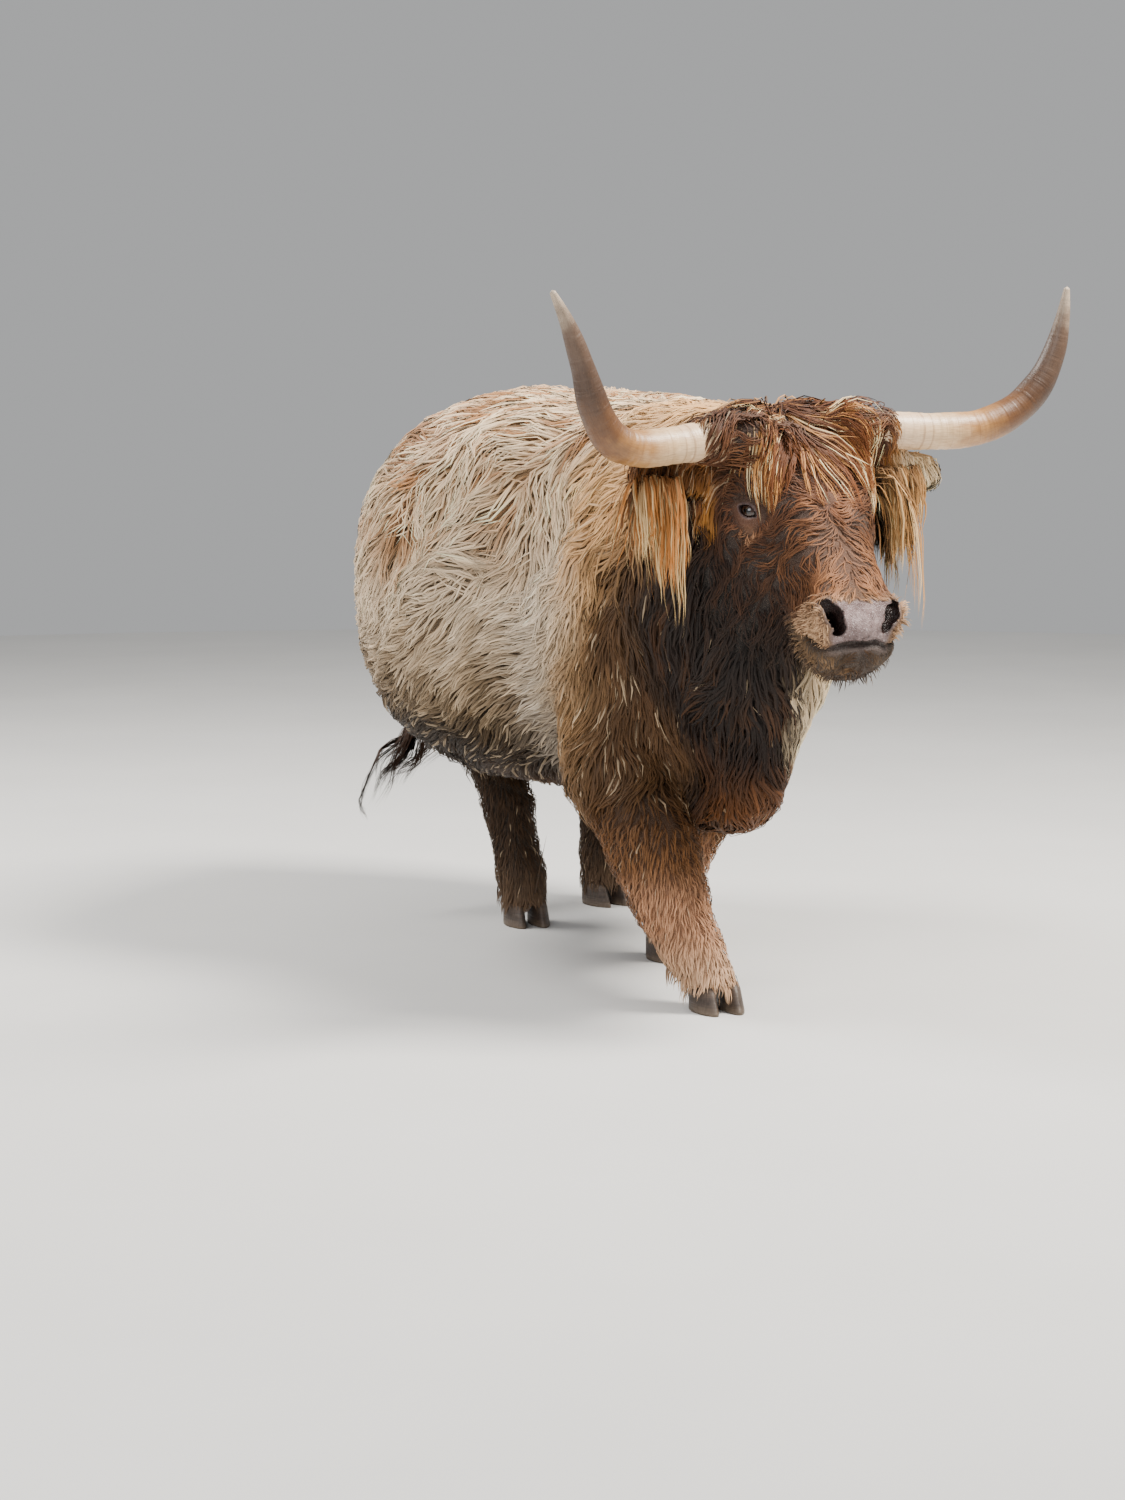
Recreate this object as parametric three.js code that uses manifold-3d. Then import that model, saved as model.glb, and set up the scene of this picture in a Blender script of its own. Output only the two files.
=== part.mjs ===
// Highland cow, standing with one forefoot a step ahead: a life-size model with its coat as part of the form.
// Millimetres, +Z up. The animal faces -Y, its left side is +X, and the soles of the hooves are at Z = 0.
// The body is one smooth field, a distance to the tips of the coat, which is meshed region by region and
// parted by thin flat cuts into the lengths that have names.
import * as THREE from 'three';
import { MarchingCubes } from 'three/addons/objects/MarchingCubes.js';
import { mergeVertices } from 'three/addons/utils/BufferGeometryUtils.js';
import Module from 'manifold-3d';

const wasm = await Module();
wasm.setup();
const { Manifold, Mesh } = wasm;

// ---- driving dimensions ----------------------------------------------------------------------------
const CUT = 0.5;                 // width of the thin cuts that part one length from the next
const FACE_SLOPE = 57;           // degrees of the face below the horizontal
const FACE_TURN = 6.5;            // degrees the head looks to its own left
const POLL = [0, -395, 1115];    // start of the face axis, on the crest between the horns
const EYE_RADIUS = 19;
const EYE_AT = [116, 188, -64];  // sideways, along the face, out from the face axis
const CLAW_LENGTH = 102;
const CLAW_WIDTH = 45;
const CLAW_HEIGHT = 50;

// Trunk and neck as one body of rounded sections:
// distance back from the forefeet's line, centre, half width, height of the widest line, top, bottom,
// and how square the section is above and below that line.
const TRUNK = [
  [-500, 0, 60, 900, 938, 845, 2.4, 2.0],
  [-465, 0, 108, 895, 996, 760, 2.4, 2.0],
  [-425, 0, 150, 895, 1052, 640, 2.4, 1.9],
  [-370, -10, 176, 850, 1096, 500, 2.5, 1.65],
  [-300, -18, 192, 800, 1110, 385, 2.6, 1.25],
  [-210, -20, 212, 745, 1118, 340, 2.6, 1.2],
  [-100, -14, 236, 715, 1122, 328, 2.7, 1.4],
  [20, -8, 270, 710, 1124, 335, 2.9, 1.7],
  [150, 0, 334, 722, 1126, 345, 3.0, 2.05],
  [300, -4, 446, 742, 1132, 334, 3.0, 2.3],
  [450, 0, 495, 752, 1141, 326, 2.9, 2.4],
  [600, 14, 498, 742, 1155, 326, 2.5, 2.5],
  [750, 34, 450, 742, 1158, 368, 2.2, 2.5],
  [880, 52, 352, 750, 1136, 448, 2.1, 2.4],
  [980, 60, 265, 775, 1088, 560, 2.1, 2.4],
  [1050, 64, 175, 805, 1018, 665, 2.0, 2.2],
  [1095, 66, 50, 835, 900, 780, 2.0, 2.0],
];

// Head as sections along the face axis: distance down the face, half width, depth of the widest line,
// front of the face, back of the jaw, each measured out from the axis.
const HEAD = [
  [-55, 30, -112, -100, -125],
  [-30, 95, -95, -42, -160],
  [0, 146, -80, -6, -185],
  [50, 158, -74, 12, -205],
  [105, 152, -72, 18, -222],
  [165, 134, -78, 15, -236],
  [225, 122, -80, 8, -222],
  [285, 108, -74, 2, -190],
  [340, 96, -66, 0, -164],
  [385, 90, -64, -2, -150],
  [420, 90, -66, -16, -142],
  [450, 88, -72, -32, -138],
  [475, 78, -82, -46, -134],
  [492, 54, -92, -62, -126],
  [503, 18, -100, -84, -114],
];

// Limbs as joints from the body down: [across, back, up, radius].
const FORE_RIGHT = [
  [-165, 20, 640, 130],
  [-172, -40, 430, 116],
  [-152, -150, 290, 96],
  [-140, -192, 205, 80],
  [-116, -232, 120, 62],
  [-86, -262, 58, 50],
];
const FORE_LEFT = [
  [160, 40, 640, 130],
  [142, 100, 430, 104],
  [80, 172, 290, 82],
  [64, 192, 215, 68],
  [56, 210, 115, 56],
  [56, 212, 58, 50],
];
const HIND_RIGHT = [
  [-120, 790, 680, 195],
  [-130, 735, 480, 126],
  [-102, 775, 360, 76],
  [-86, 745, 260, 65],
  [-70, 708, 110, 56],
  [-67, 694, 58, 50],
];
const HIND_LEFT = [
  [190, 830, 680, 190],
  [205, 850, 480, 128],
  [212, 915, 370, 78],
  [208, 905, 260, 66],
  [200, 880, 110, 56],
  [198, 868, 58, 50],
];
// Where each pair of claws stands: [across, back, turn outward in degrees].
const FEET = {
  fore_right: [-80, -274, 4],
  fore_left: [56, 206, 4],
  hind_right: [-66, 684, 6],
  hind_left: [198, 858, 6],
};
// Tail from its root to the end of the switch: [across, back, up, radius].
const TAIL = [
  [60, 985, 1015, 46],
  [66, 1068, 975, 42],
  [66, 1122, 885, 37],
  [57, 1140, 780, 34],
  [30, 1140, 660, 36],
  [-30, 1115, 530, 48],
  [-120, 1070, 430, 52],
  [-205, 1030, 385, 38],
  [-275, 1000, 362, 14],
];
// Horns from root to tip: [across, back, up, radius]. They leave the head level, then sweep up.
const HORN_RIGHT = [
  [-105, -440, 1052, 34],
  [-190, -447, 1045, 33.5],
  [-268, -458, 1036, 32.5],
  [-334, -470, 1032, 32],
  [-388, -483, 1048, 31],
  [-425, -496, 1098, 28],
  [-453, -510, 1166, 21],
  [-484, -522, 1234, 14],
  [-519, -535, 1290, 5],
];
const HORN_LEFT = [
  [100, -414, 1062, 34],
  [190, -418, 1061, 33.5],
  [280, -424, 1060, 33],
  [360, -431, 1067, 32],
  [430, -437, 1097, 30],
  [478, -443, 1144, 27],
  [505, -449, 1201, 21],
  [517, -456, 1260, 14],
  [522, -462, 1318, 5],
];

// ---- the field --------------------------------------------------------------------------------------
const clamp = THREE.MathUtils.clamp;
const lerp = THREE.MathUtils.lerp;

// A row of stations read between its own rows by a smooth curve.
function station(rows, s) {
  const last = rows.length - 1;
  let i = 0;
  while (i < last - 1 && s > rows[i + 1][0]) {
    i++;
  }
  const a = rows[Math.max(i - 1, 0)];
  const b = rows[i];
  const c = rows[i + 1];
  const d = rows[Math.min(i + 2, last)];
  const t = clamp((s - b[0]) / (c[0] - b[0]), 0, 1);
  return b.map((value, k) => {
    const span = c[0] - b[0];
    const before = b[0] > a[0] ? (c[k] - a[k]) / (c[0] - a[0]) : (c[k] - b[k]) / span;
    const after = d[0] > c[0] ? (d[k] - b[k]) / (d[0] - b[0]) : (c[k] - b[k]) / span;
    const t2 = t * t;
    const t3 = t2 * t;
    return (2 * t3 - 3 * t2 + 1) * b[k] + (t3 - 2 * t2 + t) * span * before
      + (3 * t2 - 2 * t3) * c[k] + (t3 - t2) * span * after;
  });
}

function blend(a, b, width) {
  const h = Math.max(width - Math.abs(a - b), 0) / width;
  return Math.min(a, b) - h * h * width * 0.25;
}

// Distance to a body of sections: across and up are measured from the section's own centre.
function sectioned(rows, s, across, up) {
  const [, centre, half, widest, top, bottom, upper, lower] = station(rows, s);
  const x = Math.abs(across - centre);
  const z = up - widest;
  const tall = Math.max(z > 0 ? top - widest : widest - bottom, 1);
  const power = z > 0 ? upper : lower;
  const reach = (x / Math.max(half, 1)) ** power + (Math.abs(z) / tall) ** power;
  const r = Math.hypot(x, z);
  const inside = Math.max(reach, 1e-9) ** (1 / power);
  const side = r > 1e-6 ? r * (1 - 1 / inside) : -Math.min(half, tall);
  const past = Math.max(rows[0][0] - s, s - rows[rows.length - 1][0]);
  return past > 0 ? Math.hypot(Math.max(side, 0), past) : side;
}

function bone(p, a, b, ra, rb) {
  const bx = b[0] - a[0];
  const by = b[1] - a[1];
  const bz = b[2] - a[2];
  const px = p[0] - a[0];
  const py = p[1] - a[1];
  const pz = p[2] - a[2];
  const t = clamp((px * bx + py * by + pz * bz) / (bx * bx + by * by + bz * bz), 0, 1);
  return Math.hypot(px - t * bx, py - t * by, pz - t * bz) - lerp(ra, rb, t);
}

function limb(p, joints, width) {
  let d = Infinity;
  for (let i = 0; i + 1 < joints.length; i++) {
    const a = joints[i];
    const b = joints[i + 1];
    const length = bone(p, a, b, a[3], b[3]);
    d = i === 0 ? length : blend(d, length, width);
  }
  return d;
}

function ball(p, centre, radii) {
  const x = (p[0] - centre[0]) / radii[0];
  const y = (p[1] - centre[1]) / radii[1];
  const z = (p[2] - centre[2]) / radii[2];
  const k = Math.hypot(x, y, z);
  const g = Math.hypot(x / radii[0], y / radii[1], z / radii[2]);
  return g > 1e-9 ? k * (k - 1) / g : -Math.min(...radii);
}

const slope = THREE.MathUtils.degToRad(FACE_SLOPE);
const turn = THREE.MathUtils.degToRad(FACE_TURN);
const upright = new THREE.Vector3(0, 0, 1);
const acrossFace = new THREE.Vector3(1, 0, 0).applyAxisAngle(upright, turn);
const alongFace = new THREE.Vector3(0, -Math.cos(slope), -Math.sin(slope)).applyAxisAngle(upright, turn);
const outOfFace = new THREE.Vector3(0, -Math.sin(slope), Math.cos(slope)).applyAxisAngle(upright, turn);

// Head coordinates of a point: sideways, along the face, out from the face axis.
function inHead(p) {
  const q = new THREE.Vector3(...p).sub(new THREE.Vector3(...POLL));
  return [q.dot(acrossFace), q.dot(alongFace), q.dot(outOfFace)];
}
function fromHead(u, v, w) {
  return new THREE.Vector3(...POLL)
    .addScaledVector(acrossFace, u)
    .addScaledVector(alongFace, v)
    .addScaledVector(outOfFace, w)
    .toArray();
}

function trunkField(p) {
  let d = sectioned(TRUNK, p[1], p[0], p[2]);
  d = blend(d, ball(p, [-30, -322, 430], [66, 66, 80]), 80);       // hanging front of the brisket
  d = blend(d, ball(p, [-20, -185, 375], [80, 120, 62]), 70);     // coat under the chest
  return d;
}

const HEAD_ROWS = HEAD.map(([s, half, widest, top, bottom]) => [s, 0, half, widest, top, bottom, 2.5, 2.2]);

function headField(p) {
  const [u, v, w] = inHead(p);
  const h = [u, v, w];
  let d = sectioned(HEAD_ROWS, v, u, w);
  const side = [Math.abs(u), v, w];
  d = blend(d, ball(side, [98, 140, -48], [40, 34, 34]), 26);    // brow over each eye
  d = blend(d, ball(side, [80, 215, -150], [44, 70, 70]), 40);   // cheek
  d = blend(d, ball(side, [56, 420, -30], [32, 30, 24]), 22);    // wing of each nostril
  d = blend(d, ball(h, [0, 452, -112], [52, 34, 26]), 22);       // chin
  return d;
}

function bodyField(p) {
  let d = blend(trunkField(p), headField(p), 50);
  for (const joints of [FORE_RIGHT, FORE_LEFT, HIND_RIGHT, HIND_LEFT]) {
    d = blend(d, limb(p, joints, 26), 60);
  }
  return d;
}

// ---- from field to solid ----------------------------------------------------------------------------
function solid(geometry) {
  const bare = geometry.clone();
  bare.deleteAttribute('normal');
  bare.deleteAttribute('uv');
  const merged = mergeVertices(bare, 1e-3);
  const mesh = new Mesh({
    numProp: 3,
    vertProperties: new Float32Array(merged.attributes.position.array),
    triVerts: new Uint32Array(merged.index.array),
  });
  return new Manifold(mesh);
}

// Meshes a field inside the box from low to high with cells of one size.
function meshed(field, low, high, cell) {
  const span = Math.max(high[0] - low[0], high[1] - low[1], high[2] - low[2]);
  const size = Math.ceil(span / cell) + 6;
  const grid = new MarchingCubes(size, new THREE.MeshBasicMaterial(), false, false, 30000);
  grid.isolation = 0;
  const floor = cell * 0.06;
  for (let k = 0; k < size; k++) {
    for (let j = 0; j < size; j++) {
      for (let i = 0; i < size; i++) {
        const p = [low[0] + (i - 3) * cell, low[1] + (j - 3) * cell, low[2] + (k - 3) * cell];
        const over = Math.max(p[0] - high[0], p[1] - high[1], p[2] - high[2],
          low[0] - p[0], low[1] - p[1], low[2] - p[2]);
        const d = Math.max(field(p), over);
        grid.field[i + j * size + k * size * size] = -(Math.abs(d) < floor ? Math.sign(d || 1) * floor : d);
      }
    }
  }
  grid.update();
  const half = size / 2;
  const points = grid.positionArray.slice(0, grid.count * 3);
  for (let i = 0; i < points.length; i += 3) {
    for (let k = 0; k < 3; k++) {
      points[i + k] = low[k] + (points[i + k] * half + half - 3) * cell;
    }
  }
  const geometry = new THREE.BufferGeometry();
  geometry.setAttribute('position', new THREE.BufferAttribute(points, 3));
  return solid(geometry);
}

// A plane across the body through two points of the side view, facing a third: [back, up] each.
function plane(a, b, toward) {
  const normal = new THREE.Vector3(0, b[1] - a[1], a[0] - b[0]).normalize();
  const side = normal.y * (toward[0] - a[0]) + normal.z * (toward[1] - a[1]);
  normal.multiplyScalar(Math.sign(side));
  return { normal: normal.toArray(), offset: normal.y * a[0] + normal.z * a[1] };
}
// The same from points in head coordinates: down the face, out from its axis.
function headPlane(a, b, toward) {
  const along = new THREE.Vector2(b[0] - a[0], b[1] - a[1]).normalize();
  const side = Math.sign(-along.y * (toward[0] - a[0]) + along.x * (toward[1] - a[1]));
  const normal = new THREE.Vector3()
    .addScaledVector(alongFace, -along.y * side)
    .addScaledVector(outOfFace, along.x * side);
  return { normal: normal.toArray(), offset: normal.dot(new THREE.Vector3(...fromHead(0, ...a))) };
}
// A plane square to one axis, facing its positive end.
function level(axis, at) {
  return { normal: [0, 1, 2].map((k) => (k === axis ? 1 : 0)), offset: at };
}
// The part of a body on the side the plane faces, and the part on its other side.
function facing(body, cut) {
  return body.trimByPlane(cut.normal, cut.offset + CUT / 2);
}
function behind(body, cut) {
  return body.trimByPlane(cut.normal.map((value) => -value), -cut.offset + CUT / 2);
}
function between(body, axis, from, to) {
  return behind(facing(body, level(axis, from)), level(axis, to));
}

// ---- horns, hooves, eyes ----------------------------------------------------------------------------
// A round body swept through joints with their own radii, closed at both ends.
function swept(joints, rows, around, extra) {
  const path = new THREE.CatmullRomCurve3(joints.map(([x, y, z]) => new THREE.Vector3(x, y, z)));
  const frames = path.computeFrenetFrames(rows, false);
  const spots = [];
  const index = [];
  for (let i = 0; i <= rows; i++) {
    const t = path.getUtoTmapping(i / rows);
    const at = Math.min(t * (joints.length - 1), joints.length - 1.001);
    const first = Math.floor(at);
    const radius = lerp(joints[first][3], joints[first + 1][3], at - first) + extra;
    for (let j = 0; j < around; j++) {
      const round = (j / around) * Math.PI * 2;
      spots.push(path.getPoint(t)
        .addScaledVector(frames.normals[i], Math.cos(round) * radius)
        .addScaledVector(frames.binormals[i], Math.sin(round) * radius));
      const next = (j + 1) % around;
      if (i < rows) {
        index.push(i * around + j, i * around + next, (i + 1) * around + j);
        index.push(i * around + next, (i + 1) * around + next, (i + 1) * around + j);
      }
    }
  }
  for (const end of [0, rows]) {
    const hub = spots.push(path.getPointAt(end / rows)) - 1;
    for (let j = 0; j < around; j++) {
      const a = end * around + j;
      const b = end * around + (j + 1) % around;
      index.push(...(end === 0 ? [hub, b, a] : [hub, a, b]));
    }
  }
  const form = new THREE.BufferGeometry().setFromPoints(spots);
  form.setIndex(index);
  return solid(form);
}

// One claw of a cloven hoof: a flat sole with a pointed toe, its front wall leaning back.
function claw(foot, side) {
  const [x, y, turn] = foot;
  const outline = new THREE.Shape();
  const half = CLAW_WIDTH / 2;
  outline.moveTo(-half, CLAW_LENGTH * 0.42);
  outline.quadraticCurveTo(-half * 1.15, -CLAW_LENGTH * 0.1, -half * side * 0.2, -CLAW_LENGTH * 0.55);
  outline.quadraticCurveTo(half * 1.15, -CLAW_LENGTH * 0.1, half, CLAW_LENGTH * 0.42);
  outline.quadraticCurveTo(0, CLAW_LENGTH * 0.58, -half, CLAW_LENGTH * 0.42);
  const form = new THREE.ExtrudeGeometry(outline, {
    depth: CLAW_HEIGHT, bevelEnabled: false, curveSegments: 3,
  });
  const at = form.attributes.position;
  for (let i = 0; i < at.count; i++) {
    const up = at.getZ(i) / CLAW_HEIGHT;
    const narrow = 1 - 0.14 * up;
    at.setXYZ(i, at.getX(i) * narrow, at.getY(i) * narrow * (1 - 0.1 * up) + 14 * up, at.getZ(i));
  }
  form.translate(side * (half + 3), 0, 0);
  form.rotateZ(THREE.MathUtils.degToRad(x < 20 ? -turn : turn));
  form.translate(x, y, 0);
  return solid(form);
}

function sphere(centre, radii, detail) {
  const form = new THREE.IcosahedronGeometry(1, detail);
  form.scale(...radii);
  form.translate(...centre);
  return solid(form);
}

// Ear as a leaf held out sideways, with the long fringe that hangs from its lower edge.
function earField(side) {
  const shift = side < 0 ? 12 : -14;
  return (p) => {
    const q = [p[0] * side - shift, p[1], p[2]];
    let d = bone(q, [128, -380, 1000], [210, -395, 1008], 30, 34);
    d = blend(d, bone(q, [210, -395, 1008], [300, -410, 1002], 34, 13), 20);
    d = blend(d, bone(q, [185, -400, 985], [188, -425, 850], 38, 27), 34);
    d = blend(d, bone(q, [188, -425, 850], [188, -445, 775], 27, 10), 20);
    d = blend(d, bone(q, [245, -402, 985], [238, -420, 870], 30, 13), 34);
    return d;
  };
}

// ---- the parts --------------------------------------------------------------------------------------
const root = new THREE.Group();

function add(name, body, colour, roughness) {
  const mesh = body.getMesh();
  const geometry = new THREE.BufferGeometry();
  geometry.setAttribute('position', new THREE.BufferAttribute(mesh.vertProperties, 3));
  geometry.setIndex(new THREE.BufferAttribute(mesh.triVerts, 1));
  geometry.computeVertexNormals();
  const material = new THREE.MeshStandardMaterial({ color: colour, roughness, metalness: 0 });
  const node = new THREE.Mesh(geometry, material);
  node.name = name;
  root.add(node);
}

const COAT = { back: '#b59a80', side: '#9c8069', dark: '#6a4a36', face: '#7a4e35', leg: '#8d6c55' };

const throat = plane([-318, 1180], [-372, 735], [-800, 900]);     // head in front, neck behind
const jawline = plane([-372, 735], [-640, 545], [-500, 1200]);    // head above, breast below
const shoulder = plane([-150, 1200], [-205, 200], [-800, 700]);   // neck in front, chest behind
const breast = plane([-160, 600], [-640, 600], [-400, 1200]);     // neck above, brisket below

const coarse = meshed(bodyField, [-640, -640, 300], [640, 1130, 1200], 88);
const fine = meshed(bodyField, [-250, -740, 560], [250, -250, 1200], 30);
const eyes = [-1, 1].map((side) => fromHead(side * EYE_AT[0], EYE_AT[1], EYE_AT[2]));


// Eyes: balls set into the sides of the face, with an open hollow in front of each.
const hollows = [-1, 1].map((side) => sphere(
  fromHead(side * (EYE_AT[0] + 20), EYE_AT[1], EYE_AT[2] + 2), [26, 25, 25], 1));
['right', 'left'].forEach((name, i) => {
  add(`eye_${name}`, sphere(eyes[i], [EYE_RADIUS, EYE_RADIUS, EYE_RADIUS], 1), '#1c120d', 0.12);
});

// Horns, each in one length.
const hornBodies = [HORN_RIGHT, HORN_LEFT].map((joints) => swept(joints, 16, 9, 0));
const hornRooms = [HORN_RIGHT, HORN_LEFT].map((joints) => swept(joints, 16, 9, CUT));
['right', 'left'].forEach((name, i) => add(`horn_${name}`, hornBodies[i], '#cdb89a', 0.45));

// Ears.
const earParts = [-1, 1].map((side) => meshed(
  earField(side), [side < 0 ? -350 : 75, -490, 745], [side < 0 ? -75 : 350, -330, 1055], 30));
const earRooms = [-1, 1].map((side) => {
  const grown = (p) => earField(side)(p) - CUT;
  return meshed(grown, [side < 0 ? -350 : 75, -490, 745], [side < 0 ? -75 : 350, -330, 1055], 30);
});

// Head, parted into the back of the head with the face, the muzzle, its bare nose and the lower jaw.
let head = facing(facing(fine, throat), jawline);
for (const room of [...hollows, ...hornRooms, ...earRooms]) {
  head = head.subtract(room);
}
for (const centre of eyes) {
  const room = EYE_RADIUS + CUT;
  head = head.subtract(sphere(centre, [room, room, room], 1));
}
for (const side of [-1, 1]) {
  head = head.subtract(sphere(fromHead(side * 55, 434, -18), [14, 16, 12], 1));
}
const nasal = headPlane([338, 100], [338, -300], [500, 0]);
const mouth = headPlane([480, -48], [330, -92], [400, 0]);
const pad = headPlane([404, 100], [404, -300], [500, 0]);
const snout = facing(head, nasal);
const upperLip = facing(snout, mouth);
add('head', behind(head, nasal), COAT.face, 0.85);
add('lower_jaw', behind(snout, mouth), COAT.face, 0.8);
add('muzzle', behind(upperLip, pad), COAT.face, 0.8);
add('nose', facing(upperLip, pad), '#8f7a74', 0.35);
['right', 'left'].forEach((name, i) => {
  add(`ear_${name}`, earParts[i].subtract(hornRooms[i]), '#a8663a', 0.85);
});

// Neck and brisket, behind the head and in front of the chest.
const front = meshed(bodyField, [-340, -600, 280], [340, -120, 1180], 64);
const block = solid(new THREE.BoxGeometry(900, 900, 900).translate(0, -700, 1000));
const headRoom = facing(facing(block, {
  normal: throat.normal, offset: throat.offset - CUT,
}), { normal: jawline.normal, offset: jawline.offset - CUT });
const nape = facing(front, shoulder).subtract(headRoom);
add('neck', facing(nape, breast), COAT.dark, 0.9);
add('brisket', facing(behind(nape, breast), level(2, 420)), COAT.dark, 0.9);

// Trunk: chest, barrel and hindquarters, with the limbs' upper lengths parted below them.
const trunk = behind(coarse, shoulder);
const forward = between(trunk, 1, -400, 285);
const rear = between(trunk, 1, 655, 1300);
add('chest', facing(forward, level(2, 420)), COAT.side, 0.9);
add('barrel', between(trunk, 1, 285, 655), COAT.back, 0.9);

const underChest = meshed(bodyField, [-330, -450, 0], [330, 330, 440], 52);
const foreTop = between(behind(underChest, level(1, 285)), 2, 300, 420);
add('chest_floor', between(foreTop, 0, -75, 75), COAT.dark, 0.9);
add('forearm_right', behind(foreTop, level(0, -75)), COAT.leg, 0.9);
add('forearm_left', facing(foreTop, level(0, 75)), COAT.leg, 0.9);

// Udder with its four teats, carved out of the space between the thighs.
function udder(extra) {
  let body = sphere([44, 800, 405], [92 + extra, 105 + extra, 72 + extra], 1);
  for (const [x, y] of [[-10, 745], [88, 755], [-2, 850], [92, 856]]) {
    const teat = new THREE.CapsuleGeometry(11 + extra, 46, 1, 5).rotateX(Math.PI / 2);
    body = body.add(solid(teat.translate(x, y, 338)));
  }
  return body;
}
const udderRoom = udder(CUT);
add('udder', udder(0), '#b08a7c', 0.7);
const rootOfTail = TAIL[0].map((value, k) => value + (value - TAIL[1][k]) * 0.02);
const tailRoom = swept([rootOfTail, ...TAIL.slice(1)], 16, 7, 2 * CUT);
add('hindquarters', facing(rear, level(2, 560)).subtract(tailRoom), COAT.back, 0.9);
const underRump = meshed(bodyField, [-360, 560, 0], [420, 1060, 580], 60);
const hindTop = between(facing(underRump, level(1, 655)), 2, 300, 560).subtract(udderRoom);
add('thigh_right', behind(hindTop, level(0, 45)), COAT.side, 0.9);
add('thigh_left', facing(hindTop, level(0, 45)), COAT.side, 0.9);

// Lower limbs: knee or hock, then cannon with fetlock down to the hoof.
const lower = {
  fore_right: [behind(underChest, level(1, 15)), 300, 175],
  fore_left: [facing(underChest, level(1, 15)), 300, 175],
  hind_right: [behind(underRump, level(0, 70)), 300, 190],
  hind_left: [facing(underRump, level(0, 70)), 300, 190],
};
for (const [name, [half, top, middle]] of Object.entries(lower)) {
  const joint = name.startsWith('fore') ? 'knee' : 'hock';
  add(`${joint}_${name}`, between(half, 2, middle, top), COAT.leg, 0.9);
  add(`cannon_${name}`, between(half, 2, CLAW_HEIGHT + 2, middle), COAT.leg, 0.9);
  [-1, 1].forEach((side) => {
    add(`claw_${name}_${side < 0 ? 'a' : 'b'}`, claw(FEET[name], side), '#4b4038', 0.5);
  });
}

// Tail: dock, shaft and switch, swung toward the right hock.
const tail = swept(TAIL, 16, 7, 0);
const dockEnd = level(2, 900);
const switchStart = level(2, 560);
add('tail_dock', facing(tail, dockEnd), COAT.back, 0.9);
add('tail_shaft', facing(behind(tail, dockEnd), switchStart), COAT.dark, 0.9);
add('tail_switch', behind(tail, switchStart), COAT.dark, 0.9);

// The model's origin is the middle of its footprint, at the level of its soles.
const bounds = new THREE.Box3().setFromObject(root);
const middle = bounds.getCenter(new THREE.Vector3());
for (const node of root.children) {
  node.position.set(-middle.x, -middle.y, -bounds.min.z);
}
export default root;
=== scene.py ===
"""Looks for the highland cow: one skin over the body, a coat of solid locks, horns, hooves and eyes.

Lengths are metres in the animal's own frame, which SHIFT moves to the row frame, apart from the tables
of spans, which are millimetres. The body is the same smooth field of distance that the solids follow,
less the depth of the coat, so that the tips of the locks end where the solids do."""

import math

import bpy
import numpy as np
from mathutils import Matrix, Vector
from mathutils.kdtree import KDTree


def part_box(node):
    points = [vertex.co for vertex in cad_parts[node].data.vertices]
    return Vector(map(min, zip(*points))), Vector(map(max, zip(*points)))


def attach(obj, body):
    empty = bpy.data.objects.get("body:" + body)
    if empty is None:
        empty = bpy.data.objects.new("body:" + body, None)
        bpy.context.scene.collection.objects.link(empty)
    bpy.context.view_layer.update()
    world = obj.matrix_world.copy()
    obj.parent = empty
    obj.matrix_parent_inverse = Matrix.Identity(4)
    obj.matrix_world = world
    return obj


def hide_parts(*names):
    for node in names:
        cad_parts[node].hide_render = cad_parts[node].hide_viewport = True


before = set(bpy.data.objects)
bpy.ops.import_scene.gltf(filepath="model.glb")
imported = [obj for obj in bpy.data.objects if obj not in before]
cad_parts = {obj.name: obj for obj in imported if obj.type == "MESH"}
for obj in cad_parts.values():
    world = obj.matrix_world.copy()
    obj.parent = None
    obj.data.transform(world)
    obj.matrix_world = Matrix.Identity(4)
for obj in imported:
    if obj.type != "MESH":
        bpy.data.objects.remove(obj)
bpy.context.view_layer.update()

# ---- measures: soles at 0, the animal faces -Y, its left is +X -----------------------------------------
FACE_SLOPE, FACE_TURN = 57.0, 6.5
POLL = np.array([0, -0.395, 1.115])
EYE_AT, EYE_RADIUS = np.array([0.116, 0.188, -0.064]), 0.019
# The opening between the lids: half its length, its height above and below the middle.
SLIT_LENGTH, SLIT_ABOVE, SLIT_BELOW = 0.0195, 0.0102, 0.0092
LID_DEPTH, EYE_CLEARANCE = 0.0044, 0.0004
WHORL = 0.212
CLAW_LENGTH, CLAW_WIDTH, CLAW_HEIGHT = 0.102, 0.045, 0.050
UDDER = ([0.044, 0.800, 0.405], [0.088, 0.101, 0.068])
TEATS = ((-0.010, 0.745), (0.088, 0.755), (-0.002, 0.850), (0.092, 0.856))
TEAT_TOP, TEAT_TIP = 0.360, 0.316
# The skin ends at this level, just inside the tops of the claws.
SKIN_FROM = 0.047
DOWN, BACK, SIDE = np.array([0, 0, -1.0]), np.array([0, 1.0, 0]), np.array([1.0, 0, 0])

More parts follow.
